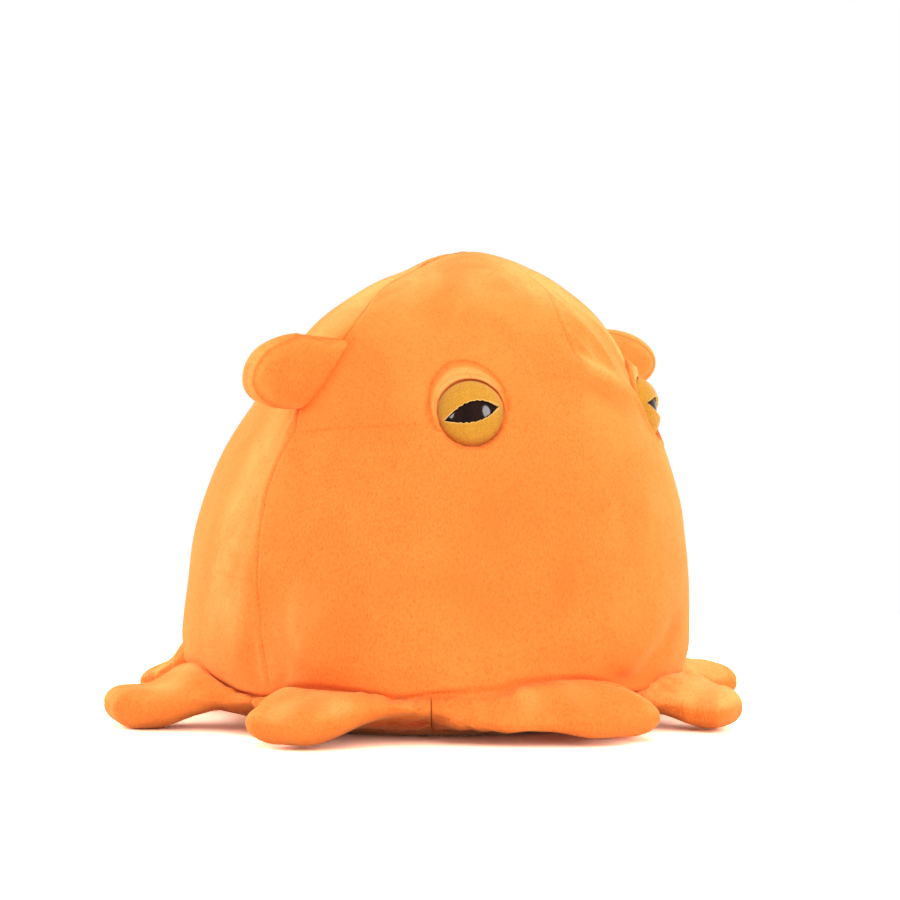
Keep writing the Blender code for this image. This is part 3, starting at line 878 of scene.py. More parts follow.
def seam_relief(points, curve, depth, width):
    """A sewn valley along a line: minus a bell of the distance between two low shoulders, fading at both
    ends. Gives the offset, how deep in the seam each point lies, and how far along it."""
    near = np.linalg.norm(points - curve.mean(axis=0), axis=1)
    reach = np.linalg.norm(curve - curve.mean(axis=0), axis=1).max() + 8 * width
    close = np.flatnonzero(near < reach)
    gap, along, length = nearest_on(curve, points[close])
    ends = smooth_step(np.minimum(along, length - along) / SEAM_TAPER + 0.02)
    shoulder = depth * SEAM_SHOULDER / SEAM_DEPTH
    offset, shade, run = np.zeros(len(points)), np.zeros(len(points)), np.zeros(len(points))
    beside = bell(gap - SHOULDER_AWAY * width, SHOULDER_SPREAD * width)
    offset[close] = ends * (shoulder * beside - depth * bell(gap, width))
    shade[close] = ends * bell(gap, SEAM_SHADE_SPREAD * width)
    run[close] = along
    return offset, shade, run


def fold_relief(points, normals, fold):
    """A soft fold, or a patch of brushed pile and painted light and shade: a bell of an ellipse laid on the
    skin round a place, its long way turned from level.
    """
    direction, height, half_length, half_width, turn, stands = fold
    direction, turn = math.radians(direction), math.radians(turn)
    offset = points - body_points(direction, height * MM)
    across, up = offset @ leftward_of(direction), offset[:, 2]
    along = across * math.cos(turn) + up * math.sin(turn)
    aside = up * math.cos(turn) - across * math.sin(turn)
    facing = np.clip(normals @ forward_of(direction) * 2, 0, 1)
    return stands * bell(along, half_length * MM) * bell(aside, half_width * MM) * facing


def eye_axes(side):
    """The eye's own axes at its seat: X across towards the nose, Y up, Z out of the head. The seat is flat
    and as deep as it must be for the lids' upper rim to meet the skin."""
    direction, tilt = side * math.radians(EYE_DIRECTION), math.radians(EYE_TILT)
    out = forward_of(direction) * math.cos(tilt) + (0, 0, math.sin(tilt))
    nose_side = -side * leftward_of(direction)
    up = np.cross(nose_side, out) * side
    up /= np.linalg.norm(up)
    centre = body_points(direction, EYE_HEIGHT)
    turn = 2 * np.pi * np.arange(RIM_STEPS) / RIM_STEPS
    rim = (LID_RADIUS + CLEARANCE) * np.stack((np.cos(turn), np.sin(turn)), axis=1)
    reach = skin_reach(centre + rim @ np.stack((nose_side, up)), out)
    return np.stack((nose_side, up, out)), centre + out * reach.min()


def skin_reach(starts, way):
    """How far along a way each line leaves the body, by halving the span."""
    low, high = np.full(len(starts), -LID_RADIUS), np.full(len(starts), LID_RADIUS)
    for _ in range(HALVINGS):
        middle = (low + high) / 2
        points = starts + middle[:, None] * way
        across = points[:, 1] + body_lean(points[:, 2])
        inside = np.hypot(points[:, 0], across) < body_radius(points[:, 2], np.arctan2(points[:, 0], -across))
        low, high = np.where(inside, middle, low), np.where(inside, high, middle)
    return low


def socket_relief(points, side):
    """The eye's socket: how far each point moves along the eye's axis, the painted shade in the crease at the
    lids' edge, and how near it lies to the hood's outer edge, where the skin gets painted shade. Under the
    lids the skin lies just behind the seat, and a low soft rim stands round them."""
    axes, seat = eye_axes(side)
    local = (points - seat) @ axes.T
    from_axis = np.hypot(local[:, 0], local[:, 1])
    near = np.abs(local[:, 2]) < LID_RADIUS
    under = smooth_step((LID_RADIUS - CLEARANCE - from_axis) / (1.2 * SOCKET_RIM))
    sink = np.maximum(local[:, 2] + SEAT_SINK, 0) * under
    below = smooth_step(0.5 - local[:, 1] / LID_RADIUS)
    rim = SOCKET_RIM_HEIGHT * bell(from_axis - LID_RADIUS - 1.5 * SOCKET_RIM, 1.3 * SOCKET_RIM) * below
    # Painted shade in the crease at the lids' edge
    shade = SOCKET_SHADE * bell(from_axis - LID_RADIUS, 0.9 * SOCKET_RIM)
    width = 2 * hood_radius(np.degrees(np.arctan2(local[:, 1], local[:, 0])) % 360)
    crease = (width > 0) * bell(from_axis - LID_RADIUS - width - HOOD_CREASE / 2, HOOD_CREASE)
    return near[:, None] * (rim - sink)[:, None] * axes[2], near * shade, near * crease


def hood_radius(degrees):
    """Half the hood's width at a turn about the eye, none beyond its ends."""
    course = curve_through(HOOD_WIDTHS, 8)
    return np.interp(degrees, course[:, 0], course[:, 1], left=0, right=0) / 2 * MM


def ear_crease(side):
    """The line on the skin just ahead of a fin's root, nearest the seam at its ends."""
    share = np.linspace(0, 1, 24)
    heights = EAR_ROOT_LOW + (EAR_ROOT_HIGH - EAR_ROOT_LOW) * share
    ahead = EAR_CREASE_AHEAD * np.sin(np.pi * share).clip(0) ** 0.6
    return body_points(side * (seam_direction(heights) - ahead), heights)


def notch_line(direction):
    """The deep part of the arms' seam where two arms meet the skin."""
    directions = np.radians(direction + np.linspace(-NOTCH_HALF_SPAN, NOTCH_HALF_SPAN, 12))
    return body_points(directions, arm_seam_height(directions))


def under_seam(direction):
    """The seam between two arms' undersides, down the tuck of the skin."""
    heights = np.linspace(UNDER_SEAM_TOP, UNDER_SEAM_FOOT, 12)
    return body_points(math.radians(direction), heights)


def make_body(finish):
    """The skin: stuffed by simulation, then pressed in and out along its normals by its seams, darts, folds
    and uneven stuffing. The simulation holds its crown, its foot and the columns nearest each side seam."""
    grid = body_grid()
    sewn = np.zeros(grid.shape[:2], bool)
    sewn[:BODY_SEWN_ROWS] = True
    sewn[DOME_ROWS + TUCK_ROWS // 2:] = True
    from_side = np.abs(np.abs(body_columns()) - np.pi / 2)
    sewn[:, np.argsort(from_side)[:BODY_SEWN_COLUMNS]] = True
    grid = stuffed(grid, sewn, BODY_CAP, BODY_CLOTH_ROWS, BODY_CLOTH_COLUMNS)
    points = grid.reshape(-1, 3)
    normals = grid_normals(grid, True).reshape(-1, 3)
    normals *= np.sign(np.einsum("ij,ij->i", normals, points - (0, 0, WIDEST_HEIGHT)))[:, None]
    over_floor = smooth_step(points[:, 2] / (WIDEST_HEIGHT / 3))
    right_seam = on_skin(SIDE_SEAM + CROWN_SEAM)
    side_seam = np.vstack((right_seam, (right_seam * (-1, 1, 1))[::-1]))
    lines = [
        (side_seam, SEAM_DEPTH, SEAM_WIDTH, SIDE_SEAM_SHADE),
        (on_skin(CROWN_DART), DART_DEPTH, SEAM_WIDTH, DART_SHADE),
        (on_skin(EYE_DART), EYE_DART_DEPTH, SEAM_WIDTH, EYE_DART_SHADE),
        (on_skin(mirrored(EYE_DART)), EYE_DART_DEPTH, SEAM_WIDTH, EYE_DART_SHADE),
        (on_skin(ARM_SEAM), ARM_SEAM_DEPTH, ARM_SEAM_WIDTH, ARM_SEAM_SHADE),
    ]
    for seams, *_ in ARMS.values():
        lines.append((under_seam(seams[0]), UNDER_SEAM_DEPTH, SEAM_WIDTH, 1))
        # Painted shade in the crease of each notch where two arms meet
        lines.append((notch_line(seams[0]), NOTCH_DEPTH, ARM_SEAM_WIDTH, NOTCH_SHADE))
    offset, shade, run = np.zeros(len(points)), np.zeros(len(points)), np.zeros(len(points))
    for line, depth, width, tone in lines:
        relief, deepness, along = seam_relief(points, line, depth, width)
        offset += relief
        run = np.where(tone * deepness > shade, along, run)
        shade = np.maximum(shade, tone * deepness)
    height = points[:, 2]
    climb = smooth_step((height - CREASE_START) / CREASE_CLIMB)
    crease = FLANK_CREASE + (CROWN_CREASE - FLANK_CREASE) * climb
    crease *= 1 - smooth_step((height - CREASE_END) / CREASE_FADE)
    offset += crease * np.exp(-nearest_on(side_seam, points)[0] / CROWN_CREASE_REACH)
    for fold in FOLDS:
        offset += fold_relief(points, normals, fold)
    # Brushed pile, partly painted light and shade: paler and deeper patches
    brushed_and_painted_shading = sum(fold_relief(points, normals, patch) for patch in PATCHES)
    in_crease = np.zeros(len(points))
    offset += LUMP_HEIGHT * lumps(points, LUMP_SIZE, 3)
    offset += SMALL_LUMP_SHARE * LUMP_HEIGHT * lumps(points, SMALL_LUMP_SIZE, 5)
    points = points + normals * (offset * over_floor)[:, None]
    for side in (1, -1):
        from_ear = nearest_on(ear_crease(side), points)[0]
        # Painted shade on the skin beside the fin's root, and a painted dark line in its crease
        brushed_and_painted_shading -= bell(from_ear, EAR_CREASE_REACH)
        in_crease = np.maximum(in_crease, bell(from_ear, 1.8 * SEAM_WIDTH))
        move, deepness, hooded = socket_relief(points, side)
        points = points + move
        # Painted shade at the lids' edge, and painted shade in the crease round the hood
        shade = np.maximum(shade, 0.8 * deepness)
        brushed_and_painted_shading -= 0.6 * hooded
        shade = np.maximum(shade, 0.5 * hooded ** 3)
    points[:, 2] = np.maximum(points[:, 2], 0)
    # Painted shade on the tuck near the floor, and the painted dark line in each fin's crease
    under = TUCK_SHADE * smooth_step(1.5 - 1.5 * points[:, 2] / TUCK_SHADE_HEIGHT)
    under = np.maximum(under, EAR_CREASE_SHADE * in_crease)
    shades = {"seam": shade, "seam_run": run, "brushed_and_painted_shading": brushed_and_painted_shading, "under": under}
    shades = {label: values.reshape(grid.shape[:2]) for label, values in shades.items()}
    settle(surface("body_skin", points.reshape(grid.shape), finish, shades), "body")


# Arms

def web_radius():
    """Radius of the web's edge, a little outside the skin where the web is sewn."""
    return float(body_radius(WEB_HEIGHT, 0.0)) + WEB_OVERHANG


def lobe_outline(seams, middle, length, half_width):
    """The arm's edge in plan from one seam to the other, evenly spaced, as directions and radii. The edge
    leaves each seam at the web's radius and swells to the tip as one over one plus a high power of the
    distance off the arm's middle."""
    web = web_radius()
    before, after = math.radians(seams[0]) - middle, math.radians(seams[1]) - middle
    offsets = np.linspace(web * math.sin(before), web * math.sin(after), OUTLINE_SAMPLES)
    swell = 1 / (1 + np.abs(offsets / half_width) ** LOBE_STEEPNESS)
    at_seam = np.where(offsets < 0, swell[0], swell[-1])
    radii = web + length * (swell - at_seam) / (1 - at_seam)
    angles = np.arcsin(offsets / radii)
    steps = np.hypot(np.diff(radii), radii[1:] * np.diff(angles))
    travelled = np.concatenate(([0], np.cumsum(steps)))
    even = np.linspace(0, travelled[-1], ARM_ROWS)
    return np.interp(even, travelled, angles), np.interp(even, travelled, radii)


def arm_seam_height(direction):
    """Height of the sewn line between the body and the arms."""
    course = curve_through(ARM_SEAM, 8)
    wrapped = (np.degrees(direction) + 180) % 360 - 180
    return np.interp(wrapped, course[:, 0], course[:, 1]) * MM


def in_plan(angles, radii):
    """Places in plan off an arm's middle line, aside and along it."""
    return np.stack((radii * np.sin(angles), radii * np.cos(angles)), axis=-1)


def arm_plan(name):
    """The arm's edge in plan: directions off its middle and radii, notched and a little ragged where the web
    meets a seam, with each spot's way from the nearest seam and how far its edge hangs."""
    seams, direction, length_share, width_share, *_ = ARMS[name]
    first_hang, last_hang = WEB_HANG[name]
    length, half_width = ARM_LENGTH * length_share, ARM_HALF_WIDTH * width_share
    angles, radii = lobe_outline(seams, math.radians(direction), length, half_width)
    edge = in_plan(angles, radii)
    arc = np.cumsum(np.concatenate(([0], np.hypot(*np.diff(edge, axis=0).T))))
    from_seam = np.minimum(arc, arc[-1] - arc)
    ragged = lumps(np.pad(edge, ((0, 0), (0, 1))), WEB_RAGGED_SIZE, list(ARMS).index(name))
    radii = radii - WEB_NOTCH * bell(from_seam, WEB_NOTCH_REACH)
    radii = radii + WEB_RAGGED * ragged * bell(from_seam, 2 * ARM_GATHER_SPAN)
    hang = np.where(angles < 0, first_hang * np.clip(arc / HANG_REACH, 0, 1),
                    last_hang * np.clip((arc[-1] - arc) / HANG_REACH, 0, 1))
    return angles, radii, from_seam, hang


def arm_layer(name, plan, upper):
    """One layer of an arm, its rows along spokes that run from the skin to the edge, closer together near
    it. Half the thickness closes to the edge as the root of one less a power of the nearness. The middle
    line sinks from the root to the tip, and the web's edge hangs beside it. Gives the points, the shade of
    the seam, the painted shade of the underside, and half the thickness as a share, below zero underneath."""
    _, direction, length_share, _, bend, height_share = ARMS[name]
    angles, radii, _, hang = plan
    middle, web = math.radians(direction), web_radius()
    seam_height = arm_seam_height(middle + angles)
    root_height = seam_height if upper else np.full(len(angles), ARM_UNDER_HEIGHT)
    root = (body_radius(root_height, middle + angles) - ARM_ROOT_INSET)[:, None]
    share = 1 - (1 - np.linspace(0, 1, ARM_COLUMNS)) ** EDGE_CROWDING
    out = root + (radii[:, None] - root) * share
    from_root = out - root
    outward = from_root / (radii[:, None] - root)
    place = in_plan(angles[:, None], out)
    to_edge = to_outline(place, in_plan(angles, radii))
    closing = 1 - np.clip(to_edge / ARM_FULLNESS, 0, 1)
    body_share = 1 / (1 + np.abs(place[..., 0] / WEB_SPREAD) ** WEB_STEEPNESS)
    depth = WEB_HALF_DEPTH + (ARM_HALF_DEPTH - WEB_HALF_DEPTH) * body_share
    half_depth = ARM_SLACK * depth * np.sqrt(1 - closing ** EDGE_ROUNDNESS)
    sink = smooth_step((out - web - ARM_SINK_START) / ARM_SINK_LENGTH)
    root_level = WEB_HEIGHT + (ARM_ROOT_HEIGHT * height_share - WEB_HEIGHT) * body_share
    level = root_level + (ARM_TIP_HEIGHT - root_level) * sink * body_share
    hanging = hang[:, None] * (1 - body_share) * smooth_step(outward)
    level = level - (WEB_HEIGHT - WEB_HALF_DEPTH) * hanging
    seam_shade, under_shade = np.zeros(out.shape), np.zeros(out.shape)
    if upper:
        height = level + half_depth
        drop = seam_height - ARM_SEAM_DROP - height[:, 0]
        height += drop[:, None] * np.exp(-from_root / ARM_ROOT_BLEND)
        seam_shade = ARM_SEAM_SHADE * bell(from_root - ARM_ROOT_INSET, ARM_SEAM_WIDTH)
    else:
        height = level - half_depth
        height += (ARM_UNDER_HEIGHT - height[:, :1]) * smooth_step((web - out) / (web - root))
        # Painted shade on the underside, deepest towards the root
        inward = ARM_UNDER_SPREAD * (1 - outward) + WEB_UNDER_SHARE * (1 - body_share)
        under_shade = ARM_UNDER_SHADE * smooth_step(inward)
    bent = math.radians(bend) * (np.maximum(out - web, 0) / (ARM_LENGTH * length_share)) ** BEND_RISE
    apart = np.zeros((len(angles), 1))
    apart[[0, -1], 0] = -np.copysign(CLEARANCE / 2, angles[[0, -1]])
    turn = middle + angles[:, None] + bent + apart / out
    notch = ARM_EDGE_NOTCH * bell(height - level, ARM_EDGE_WIDTH) * (to_edge < ARM_FULLNESS / 3)
    flat = np.stack((out * np.sin(turn), -out * np.cos(turn)), axis=-1) * (1 - notch / out)[..., None]
    fullness = half_depth / ARM_HALF_DEPTH
    return np.dstack((flat, height)), seam_shade, under_shade, fullness if upper else -fullness


def make_arm(name, finish):
    """One arm of two layers: out along the top from the body's seam to the edge and back along the underside
    to the tuck. It is stuffed by simulation, and gathered a little where it is sewn."""
    plan = arm_plan(name)
    layers = zip(arm_layer(name, plan, True), arm_layer(name, plan, False))
    grid, shade, under, fullness = (out_and_back(upper, lower) for upper, lower in layers)
    sewn = sewn_ends(grid, ARM_SEWN_COLUMNS, ARM_SEWN_COLUMNS)
    grid = stuffed(grid, sewn, ARM_CAP, ARM_CLOTH_ROWS, ARM_CLOTH_COLUMNS)
    seed = list(ARMS).index(name)
    near_seam = bell(plan[2], ARM_GATHER_SPAN)[:, None] * (0.3 + np.abs(fullness))
    grid[..., 2] += ARM_LUMP * lumps(grid, ARM_LUMP_SIZE, seed) * fullness
    grid[..., 2] += ARM_GATHER * lumps(grid, ARM_GATHER_SIZE, seed + 20) * near_seam * (fullness > 0)
    grid[..., 2] = np.maximum(grid[..., 2], CLEARANCE)
    # Brushed pile, and painted light on each arm's top; the lower layer gets none
    brushed_and_painted_shading = ARM_STROKED * lumps(grid, ARM_STROKED_SIZE, seed + 40) + ARM_TOP_PAINTED_LIGHT.get(name, 0)
    brushed_and_painted_shading *= np.clip(2.2 * fullness, 0, 1)
    shades = {"seam": shade, "brushed_and_painted_shading": brushed_and_painted_shading, "under": under}
    settle(surface(name + "_plush", grid, finish, shades), name)


# Fins

def ear_outline():
    """The fin's tip in its own plane, outward and up: half a superellipse whose middle sags outward."""
    turn = np.linspace(-np.pi / 2, np.pi / 2, 120)
    power = 2 / EAR_TIP_SQUARENESS
    out = np.cos(turn).clip(0) ** power
    rise = EAR_HALF_HEIGHT * np.sign(turn) * np.abs(np.sin(turn)) ** power - EAR_SAG * out ** 2
    return np.stack((EAR_TIP_START + (EAR_REACH - EAR_TIP_START) * out, rise), axis=1)


def make_ear(name, finish):
    """A fin of two layers sewn together, ruled from its root just ahead of the side seam to its outline. Each
    layer's thickness closes to the edge as the root of one less a power of the nearness, and swells quickly
    from the root. The seam lies inside the rim in front, where the back layer rolls over the tip."""
    side = 1 if name.endswith("left") else -1
    lift, swept = math.radians(EAR_LIFTS[name]), math.radians(EAR_SWEEP)
    outward = side * leftward_of(-side * swept) * math.cos(lift) + (0, 0, math.sin(lift))
    front = forward_of(-side * swept)
    up = np.cross(outward, front) * -side
    seat = body_points(side * math.radians(EAR_DIRECTION), EAR_HEIGHT)
    heights = np.linspace(EAR_ROOT_LOW, EAR_ROOT_HIGH, EAR_ROWS)
    root = body_points(side * (seam_direction(heights) - EAR_ROOT_AHEAD), heights) - EAR_ROOT_INSET * outward
    tip = seat + ear_outline() @ np.stack((outward, up))
    edge = evenly(np.vstack((root[:1], tip, root[-1:])), EAR_ROWS)
    share = (1 - (1 - np.linspace(0, 1, EAR_COLUMNS)) ** EDGE_CROWDING)[:, None]
    plane = root[:, None] + (edge - root)[:, None] * share
    to_edge = to_outline(plane, edge)
    closing = 1 - np.clip(to_edge / EAR_ROUNDING, 0, 1)
    full = EAR_HALF_THICKNESS * np.sqrt(1 - closing ** EAR_EDGE_ROUNDNESS)
    from_root = np.linalg.norm(plane - plane[:, :1], axis=2)
    opening = np.clip(from_root / EAR_ROOT_ROUNDING, 0, 1)
    full = EAR_SLACK * full * (EAR_ROOT_SHARE + (1 - EAR_ROOT_SHARE) * np.sqrt(1 - (1 - opening) ** 2))
    normals = grid_normals(plane, False)
    normals[[0, -1]] = normals[[1, -2]]
    normals *= np.sign(normals @ front)[..., None]
    normals = normals + front
    normals /= np.linalg.norm(normals, axis=2, keepdims=True)
    up_share = np.linspace(0, 1, EAR_ROWS)[:, None]
    inset = EAR_SEAM_INSET * np.sin(np.pi * up_share ** EAR_SEAM_SKEW) ** 2
    seam = bell(to_edge - inset, EAR_SEAM_WIDTH) * smooth_step(from_root / EAR_ROOT_ROUNDING)
    front_layer = plane + normals * (EAR_FRONT_SHARE * full - EAR_SEAM_DEPTH * seam)[..., None]
    back_layer = plane - normals * (EAR_BACK_SHARE * full)[..., None]
    grid = out_and_back(front_layer, back_layer)
    sewn = sewn_ends(grid, *EAR_SEWN_COLUMNS)
    grid = stuffed(grid, sewn, EAR_CAP, EAR_CLOTH_ROWS, EAR_CLOTH_COLUMNS)
    grid = grid + EAR_LUMP * lumps(grid, EAR_LUMP_SIZE, 11 + side)[..., None] * front
    # Painted shade in the crease at the fin's root
    at_root = bell(from_root - EAR_ROOT_INSET, 1.6 * SEAM_WIDTH)
    # Painted light on the rim and on a band inside the seam
    rim = smooth_step((inset - to_edge) / EAR_SEAM_WIDTH)
    band = bell(to_edge - inset - 3 * EAR_SEAM_WIDTH, 2 * EAR_SEAM_WIDTH)
    rim_painted_light = EAR_RIM_PAINTED_LIGHT * rim + EAR_BAND_PAINTED_LIGHT * band
    # A painted dark line of shade in the crease at the root
    in_crease = EAR_CREASE_SHADE * bell(from_root - EAR_CREASE_WIDTH, EAR_CREASE_WIDTH)
    in_crease = in_crease * np.sin(np.pi * up_share).clip(0) ** 0.5
    # The back layer is painted paler all over as painted light
    shades = {
        "seam": out_and_back(np.maximum(EAR_SEAM_SHADE * seam, at_root), at_root),
        "brushed_and_painted_shading": out_and_back(rim_painted_light, np.full(rim_painted_light.shape, EAR_BACK_PAINTED_LIGHT)),
        "under": out_and_back(in_crease, np.zeros(rim_painted_light.shape)),
    }
    settle(surface(name + "_plush", grid, finish, shades), name)


# Eyes

def dome_height(from_axis, radius, height):
    """Height of a superellipse dome at a distance from its axis."""
    share = np.clip(from_axis / radius, 0, 1)
    return height * (1 - share ** DOME_SQUARENESS) ** (1 / DOME_SQUARENESS)


def dome_radius(high, radius, height):
    """Distance from the axis at which a superellipse dome has a height, the whole radius below it."""
    share = np.clip(high / height, 0, 1)
    return radius * (1 - share ** DOME_SQUARENESS) ** (1 / DOME_SQUARENESS)


def make_eye(side, label, finish):
    """The eye turned about its axis: the dome's quarter curve, the flat back and the stem."""
    axes, seat = eye_axes(side)
    radius = LID_RADIUS - LID_THICKNESS - CLEARANCE
    height = LID_HEIGHT - LID_THICKNESS - CLEARANCE
    turn = np.linspace(0, np.pi / 2, EYE_DOME_STEPS + 1)[1:]
    out = radius * np.sin(turn) ** (2 / DOME_SQUARENESS)
    rise = 2 * CLEARANCE + (height - 2 * CLEARANCE) * np.cos(turn).clip(0) ** (2 / DOME_SQUARENESS)
    back = np.linspace(radius, STEM_RADIUS, 8)
    stem = np.linspace(CLEARANCE, -STEM_LENGTH, 14)
    out = np.concatenate((out, back, np.full(len(stem), STEM_RADIUS), (STEM_RADIUS / 2,)))
    rise = np.concatenate((rise, np.full(len(back), CLEARANCE), stem, (-STEM_LENGTH,)))
    around = np.linspace(0, 2 * np.pi, EYE_TURN_STEPS, endpoint=False)
    local = np.dstack((out[:, None] * np.cos(around), out[:, None] * np.sin(around),
                       rise[:, None] * np.ones_like(around)))
    settle(surface("eye_" + label + "_dome", local @ axes + seat, finish), "eye_" + label)


def lid_layer(across, rim, edge, inward):
    """One side of a lid from the rim to the opening's edge, on a dome that lies some way inside the lids'
    own: its points, and how near the edge they lie."""
    steps = np.sin(np.linspace(0, np.pi / 2, LID_COLUMNS))
    off = rim[:, None] + (edge - rim)[:, None] * steps
    across = across[:, None] * np.ones_like(off)
    from_axis = np.hypot(across, off)
    high = CLEARANCE + dome_height(from_axis, LID_RADIUS - inward, LID_HEIGHT - inward - CLEARANCE)
    return np.dstack((across, off, high)), bell(off - edge[:, None], LID_CUT)


def make_lid(side, label, upper, finish):
    """A felt lid: rows across the eye from corner to corner, each a loop over the outside from the rim
    to the opening, across the cut edge and back along the inside. The opening's edge is a parabola with
    its peak drawn towards the nose, frayed a little, and straight beyond the corners."""
    axes, seat = eye_axes(side)
    bow, sign = (OPENING_ABOVE, 1) if upper else (OPENING_BELOW, -1)
    across = LID_RADIUS * np.sin(np.linspace(-np.pi / 2, np.pi / 2, LID_ROWS + 2)[1:-1])
    share = np.clip(across / OPENING_HALF_LENGTH, -1, 1)
    fray = LID_FRAY * (np.sin(across / 0.00037) + np.sin(across / 0.00023 + 1) * np.sin(across / 0.0011))
    opened = 1 - share ** 2
    edge = bow * opened * (1 + OPENING_SKEW * share) + fray * opened - LID_OVERLAP * (1 - opened)
    rim = np.sqrt(LID_RADIUS ** 2 - across ** 2)
    edge = np.minimum(edge, rim - CLEARANCE / 2)
    outer, outer_pale = lid_layer(across, rim, edge, 0)
    inner_share = (LID_RADIUS - LID_THICKNESS) / LID_RADIUS
    inner_edge = np.minimum(edge, rim * inner_share - CLEARANCE / 4)
    inner, inner_pale = lid_layer(across * inner_share, rim * inner_share, inner_edge, LID_THICKNESS)
    cut = [outer[:, -1:] * (1 - t) + inner[:, -1:] * t for t in np.linspace(0, 1, LID_EDGE_COLUMNS)[1:-1]]
    loop = np.concatenate([outer] + cut + [inner[:, ::-1]], axis=1) * (1, sign, 1)
    pale = np.concatenate((outer_pale, np.ones((LID_ROWS, len(cut))), inner_pale[:, ::-1]), axis=1)
    open_part = smooth_step((1 - np.abs(across) / (OPENING_HALF_LENGTH * 1.02)) * 8)[:, None]
    tilt = math.radians(OPENING_TILT)
    spun = np.dstack((loop[..., 0] * math.cos(tilt) - loop[..., 1] * math.sin(tilt),
                      loop[..., 0] * math.sin(tilt) + loop[..., 1] * math.cos(tilt), loop[..., 2]))
    name = ("upper_lid_" if upper else "lower_lid_") + label
    piece = surface(name + "_felt", spun @ axes + seat, finish, {"cut_edge": pale * open_part})
    settle(piece, name)


def make_hood(side, label, finish):
    """A plush roll over the eye that hugs the lids: elliptical sections along a crescent, kept outside the
    lids' own dome, with fine wrinkles that run along it. Its top is painted paler as painted light and its
    lower side deeper as painted shade, with painted shade at its foot and in its wrinkles' valleys."""
    axes, seat = eye_axes(side)
    degrees = np.linspace(HOOD_WIDTHS[0][0], HOOD_WIDTHS[-1][0], HOOD_ROWS)
    thick = hood_radius(degrees)
    nearness = thick / thick.max()
    angle = np.radians(degrees)
    spoke = np.cos(angle)[:, None] * axes[0] + np.sin(angle)[:, None] * axes[1]
    outer = seat + spoke * (LID_RADIUS + CLEARANCE + 2 * thick)[:, None]
    skin = skin_reach(outer, axes[2])
    around = np.linspace(0, 2 * np.pi, HOOD_COLUMNS, endpoint=False)
    wander = HOOD_WANDER * np.sin(3 * angle)[:, None]
    ripple = np.cos(HOOD_WRINKLES * around + wander) * bell(around - HOOD_CREST, HOOD_CREST_SPREAD)
    radius = thick[:, None] + HOOD_WRINKLE * ripple * nearness[:, None]
    high = (skin + thick * HOOD_LIFT)[:, None] + radius * np.sin(around)
    out = LID_RADIUS + (thick * (2 - HOOD_TIGHTNESS))[:, None] + HOOD_TIGHTNESS * radius * np.cos(around)
    out = out - HOOD_LEAN * thick[:, None] * np.clip(np.sin(around), 0, 1) * np.cos(around / 2) ** 2
    lids = dome_radius(high, LID_RADIUS + CLEARANCE, LID_HEIGHT + CLEARANCE)
    out = np.maximum(out, lids + CLEARANCE / 3)
    grid = seat + out[..., None] * spoke[:, None] + high[..., None] * axes[2]
    sewn = sewn_ends(grid, 0, HOOD_COLUMNS // 2)
    grid = stuffed(grid, sewn, HOOD_CAP, HOOD_CLOTH_ROWS, HOOD_CLOTH_COLUMNS)
    # Painted shade at the hood's foot and in its wrinkles' valleys
    at_foot = bell(out - lids - CLEARANCE / 3, HOOD_FOOT_WIDTH) * bell(np.minimum(high, 0), HOOD_FOOT_REACH)
    shade = np.maximum(HOOD_FOOT_SHADE * at_foot,
                       HOOD_WRINKLE_SHADE * np.clip(-ripple, 0, 1) * nearness[:, None])
    # Painted light on the top, painted shade elsewhere
    on_top = np.sin(around - HOOD_PAINTED_LIGHT_TURN) * np.clip(nearness * 1.5, 0, 1)[:, None]
    brushed_and_painted_shading = HOOD_TOP_PAINTED_LIGHT * on_top - HOOD_PAINTED_SHADE
    shades = {"seam": shade, "brushed_and_painted_shading": brushed_and_painted_shading}
    piece = surface("eye_hood_" + label + "_plush", grid, finish, shades)
    settle(piece, "eye_hood_" + label)


# Camera, light and floor

def place_camera():
    """The camera at the photograph's angle."""
    turn = math.radians(CAMERA_DIRECTION)
    back = Vector(forward_of(turn))
    aside = Vector(leftward_of(turn)) * AIM_ASIDE
    lens = bpy.data.cameras.new("camera")
    lens.lens = CAMERA_LENS
    lens.sensor_width = 36
    lens.clip_start, lens.clip_end = 0.05, 20
    camera = bpy.data.objects.new("camera", lens)
    bpy.context.scene.collection.objects.link(camera)
    camera.location = back * CAMERA_DISTANCE + aside + Vector((0, 0, CAMERA_HEIGHT))
    aim = aside + Vector((0, 0, AIM_HEIGHT)) - camera.location
    camera.rotation_mode = "QUATERNION"
    camera.rotation_quaternion = aim.to_track_quat("-Z", "Y")
    bpy.context.scene.camera = camera


def add_lamp(name, direction, elevation, distance, size, watts, reflected_only):
    """A round soft lamp that looks at the toy's middle from a direction and an elevation. It either lights
    the plush or is seen in the eyes' gloss."""
    light = bpy.data.lights.new(name, "AREA")
    light.shape, light.size, light.energy = "DISK", size, watts
    lamp = bpy.data.objects.new(name, light)
    bpy.context.scene.collection.objects.link(lamp)
    turn, rise = math.radians(direction), math.radians(elevation)
    way = Vector(forward_of(turn) * math.cos(rise) + (0, 0, math.sin(rise)))
    lamp.location = way * distance + Vector((0, 0, BODY_HEIGHT / 2))
    lamp.rotation_mode = "QUATERNION"
    lamp.rotation_quaternion = (-way).to_track_quat("-Z", "Y")
    lamp.visible_camera = False
    lamp.visible_diffuse = not reflected_only
    lamp.visible_glossy = reflected_only


def seen_rays(tree):
    """One for rays from the camera, from gloss and through clear things, else zero."""
    path = add_node(tree, "ShaderNodeLightPath")
    seen = calculate(tree, "MAXIMUM", path.outputs["Is Camera Ray"], path.outputs["Is Glossy Ray"])
    return calculate(tree, "MAXIMUM", seen, path.outputs["Is Transmission Ray"])


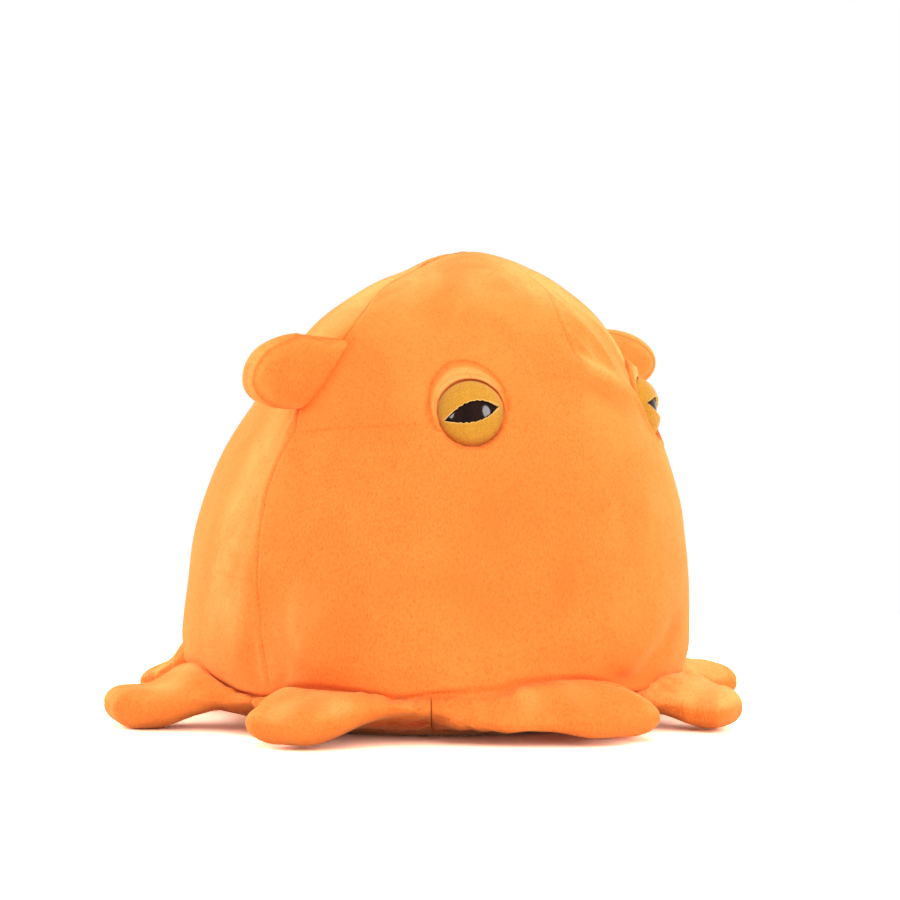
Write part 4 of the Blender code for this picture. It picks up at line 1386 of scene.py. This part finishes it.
def light_world():
    """White all round: strength 1 where it is seen, and the plain level that lights the toy."""
    world = bpy.data.worlds.new("studio")
    world.use_nodes = True
    tree = world.node_tree
    background = tree.nodes["Background"]
    background.inputs["Color"].default_value = (1, 1, 1, 1)
    strength = spread_out(tree, seen_rays(tree), 0, 1, WORLD_LIGHT, 1.0)
    tree.links.new(strength, background.inputs["Strength"])
    bpy.context.scene.world = world


def make_floor():
    """A wide round floor: slightly warm pale paper that fades to plain white away from the toy. The camera
    sees the paper two to three times as pale as it lights the toy, so that it is white outside the soft
    shadow, and warmer in red than in blue, a painted warm bounce light in the shadow."""
    turn = np.linspace(0, 2 * np.pi, 96, endpoint=False)
    points = FLOOR_RADIUS * np.stack((np.cos(turn), np.sin(turn), 0 * turn), axis=1) - (0, 0, FLOOR_DROP)
    mesh = bpy.data.meshes.new("floor")
    mesh.from_pydata(points.tolist(), [], [tuple(range(len(turn)))])
    floor = bpy.data.objects.new("floor", mesh)
    bpy.context.scene.collection.objects.link(floor)
    made, tree, shader = new_material("white_paper")
    grain = noise(tree, object_place(tree), 900, 2)
    tone = blend(tree, grain, (0.88, 0.86, 0.84, 1), (0.90, 0.88, 0.86, 1))
    tone = blend(tree, seen_rays(tree), tone, (*SEEN_FLOOR, 1))
    tree.nodes.remove(shader)
    paper = add_node(tree, "ShaderNodeBsdfDiffuse", {"Color": tone})
    place = add_node(tree, "ShaderNodeTexCoord").outputs["Object"]
    away = add_node(tree, "ShaderNodeVectorMath", {0: place}, operation="LENGTH").outputs["Value"]
    share = calculate(tree, "MULTIPLY", spread_out(tree, away, *PAPER_REACH), seen_rays(tree))
    white = add_node(tree, "ShaderNodeEmission", {"Color": (1, 1, 1, 1), "Strength": 1.0})
    mixed = add_node(tree, "ShaderNodeMixShader", {0: share, 1: paper.outputs[0], 2: white.outputs[0]})
    tree.links.new(mixed.outputs[0], tree.nodes["Material Output"].inputs["Surface"])
    mesh.materials.append(made)


# The toy on its stage

place_camera()
light_world()
for lamp_name, settings in LAMPS.items():
    add_lamp(lamp_name, *settings)
make_floor()

plush = plush_finish("orange_plush", 0.10, 0.0006)
arm_plush = plush_finish("orange_plush_arms", 0.26, 0.0009)
felt = felt_finish()
gloss = eye_finish()
make_body(plush)
for arm_name in ARMS:
    make_arm(arm_name, arm_plush)
for ear_name in EAR_LIFTS:
    make_ear(ear_name, plush)
for eye_side, eye_label in ((1, "left"), (-1, "right")):
    make_eye(eye_side, eye_label, gloss)
    make_lid(eye_side, eye_label, True, felt)
    make_lid(eye_side, eye_label, False, felt)
    make_hood(eye_side, eye_label, plush)
washer_plastic = washer_finish()
for washer in ("eye_washer_left", "eye_washer_right"):
    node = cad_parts[washer]
    node.data.materials.clear()
    node.data.materials.append(washer_plastic)

bpy.context.scene.view_settings.view_transform = "Standard"
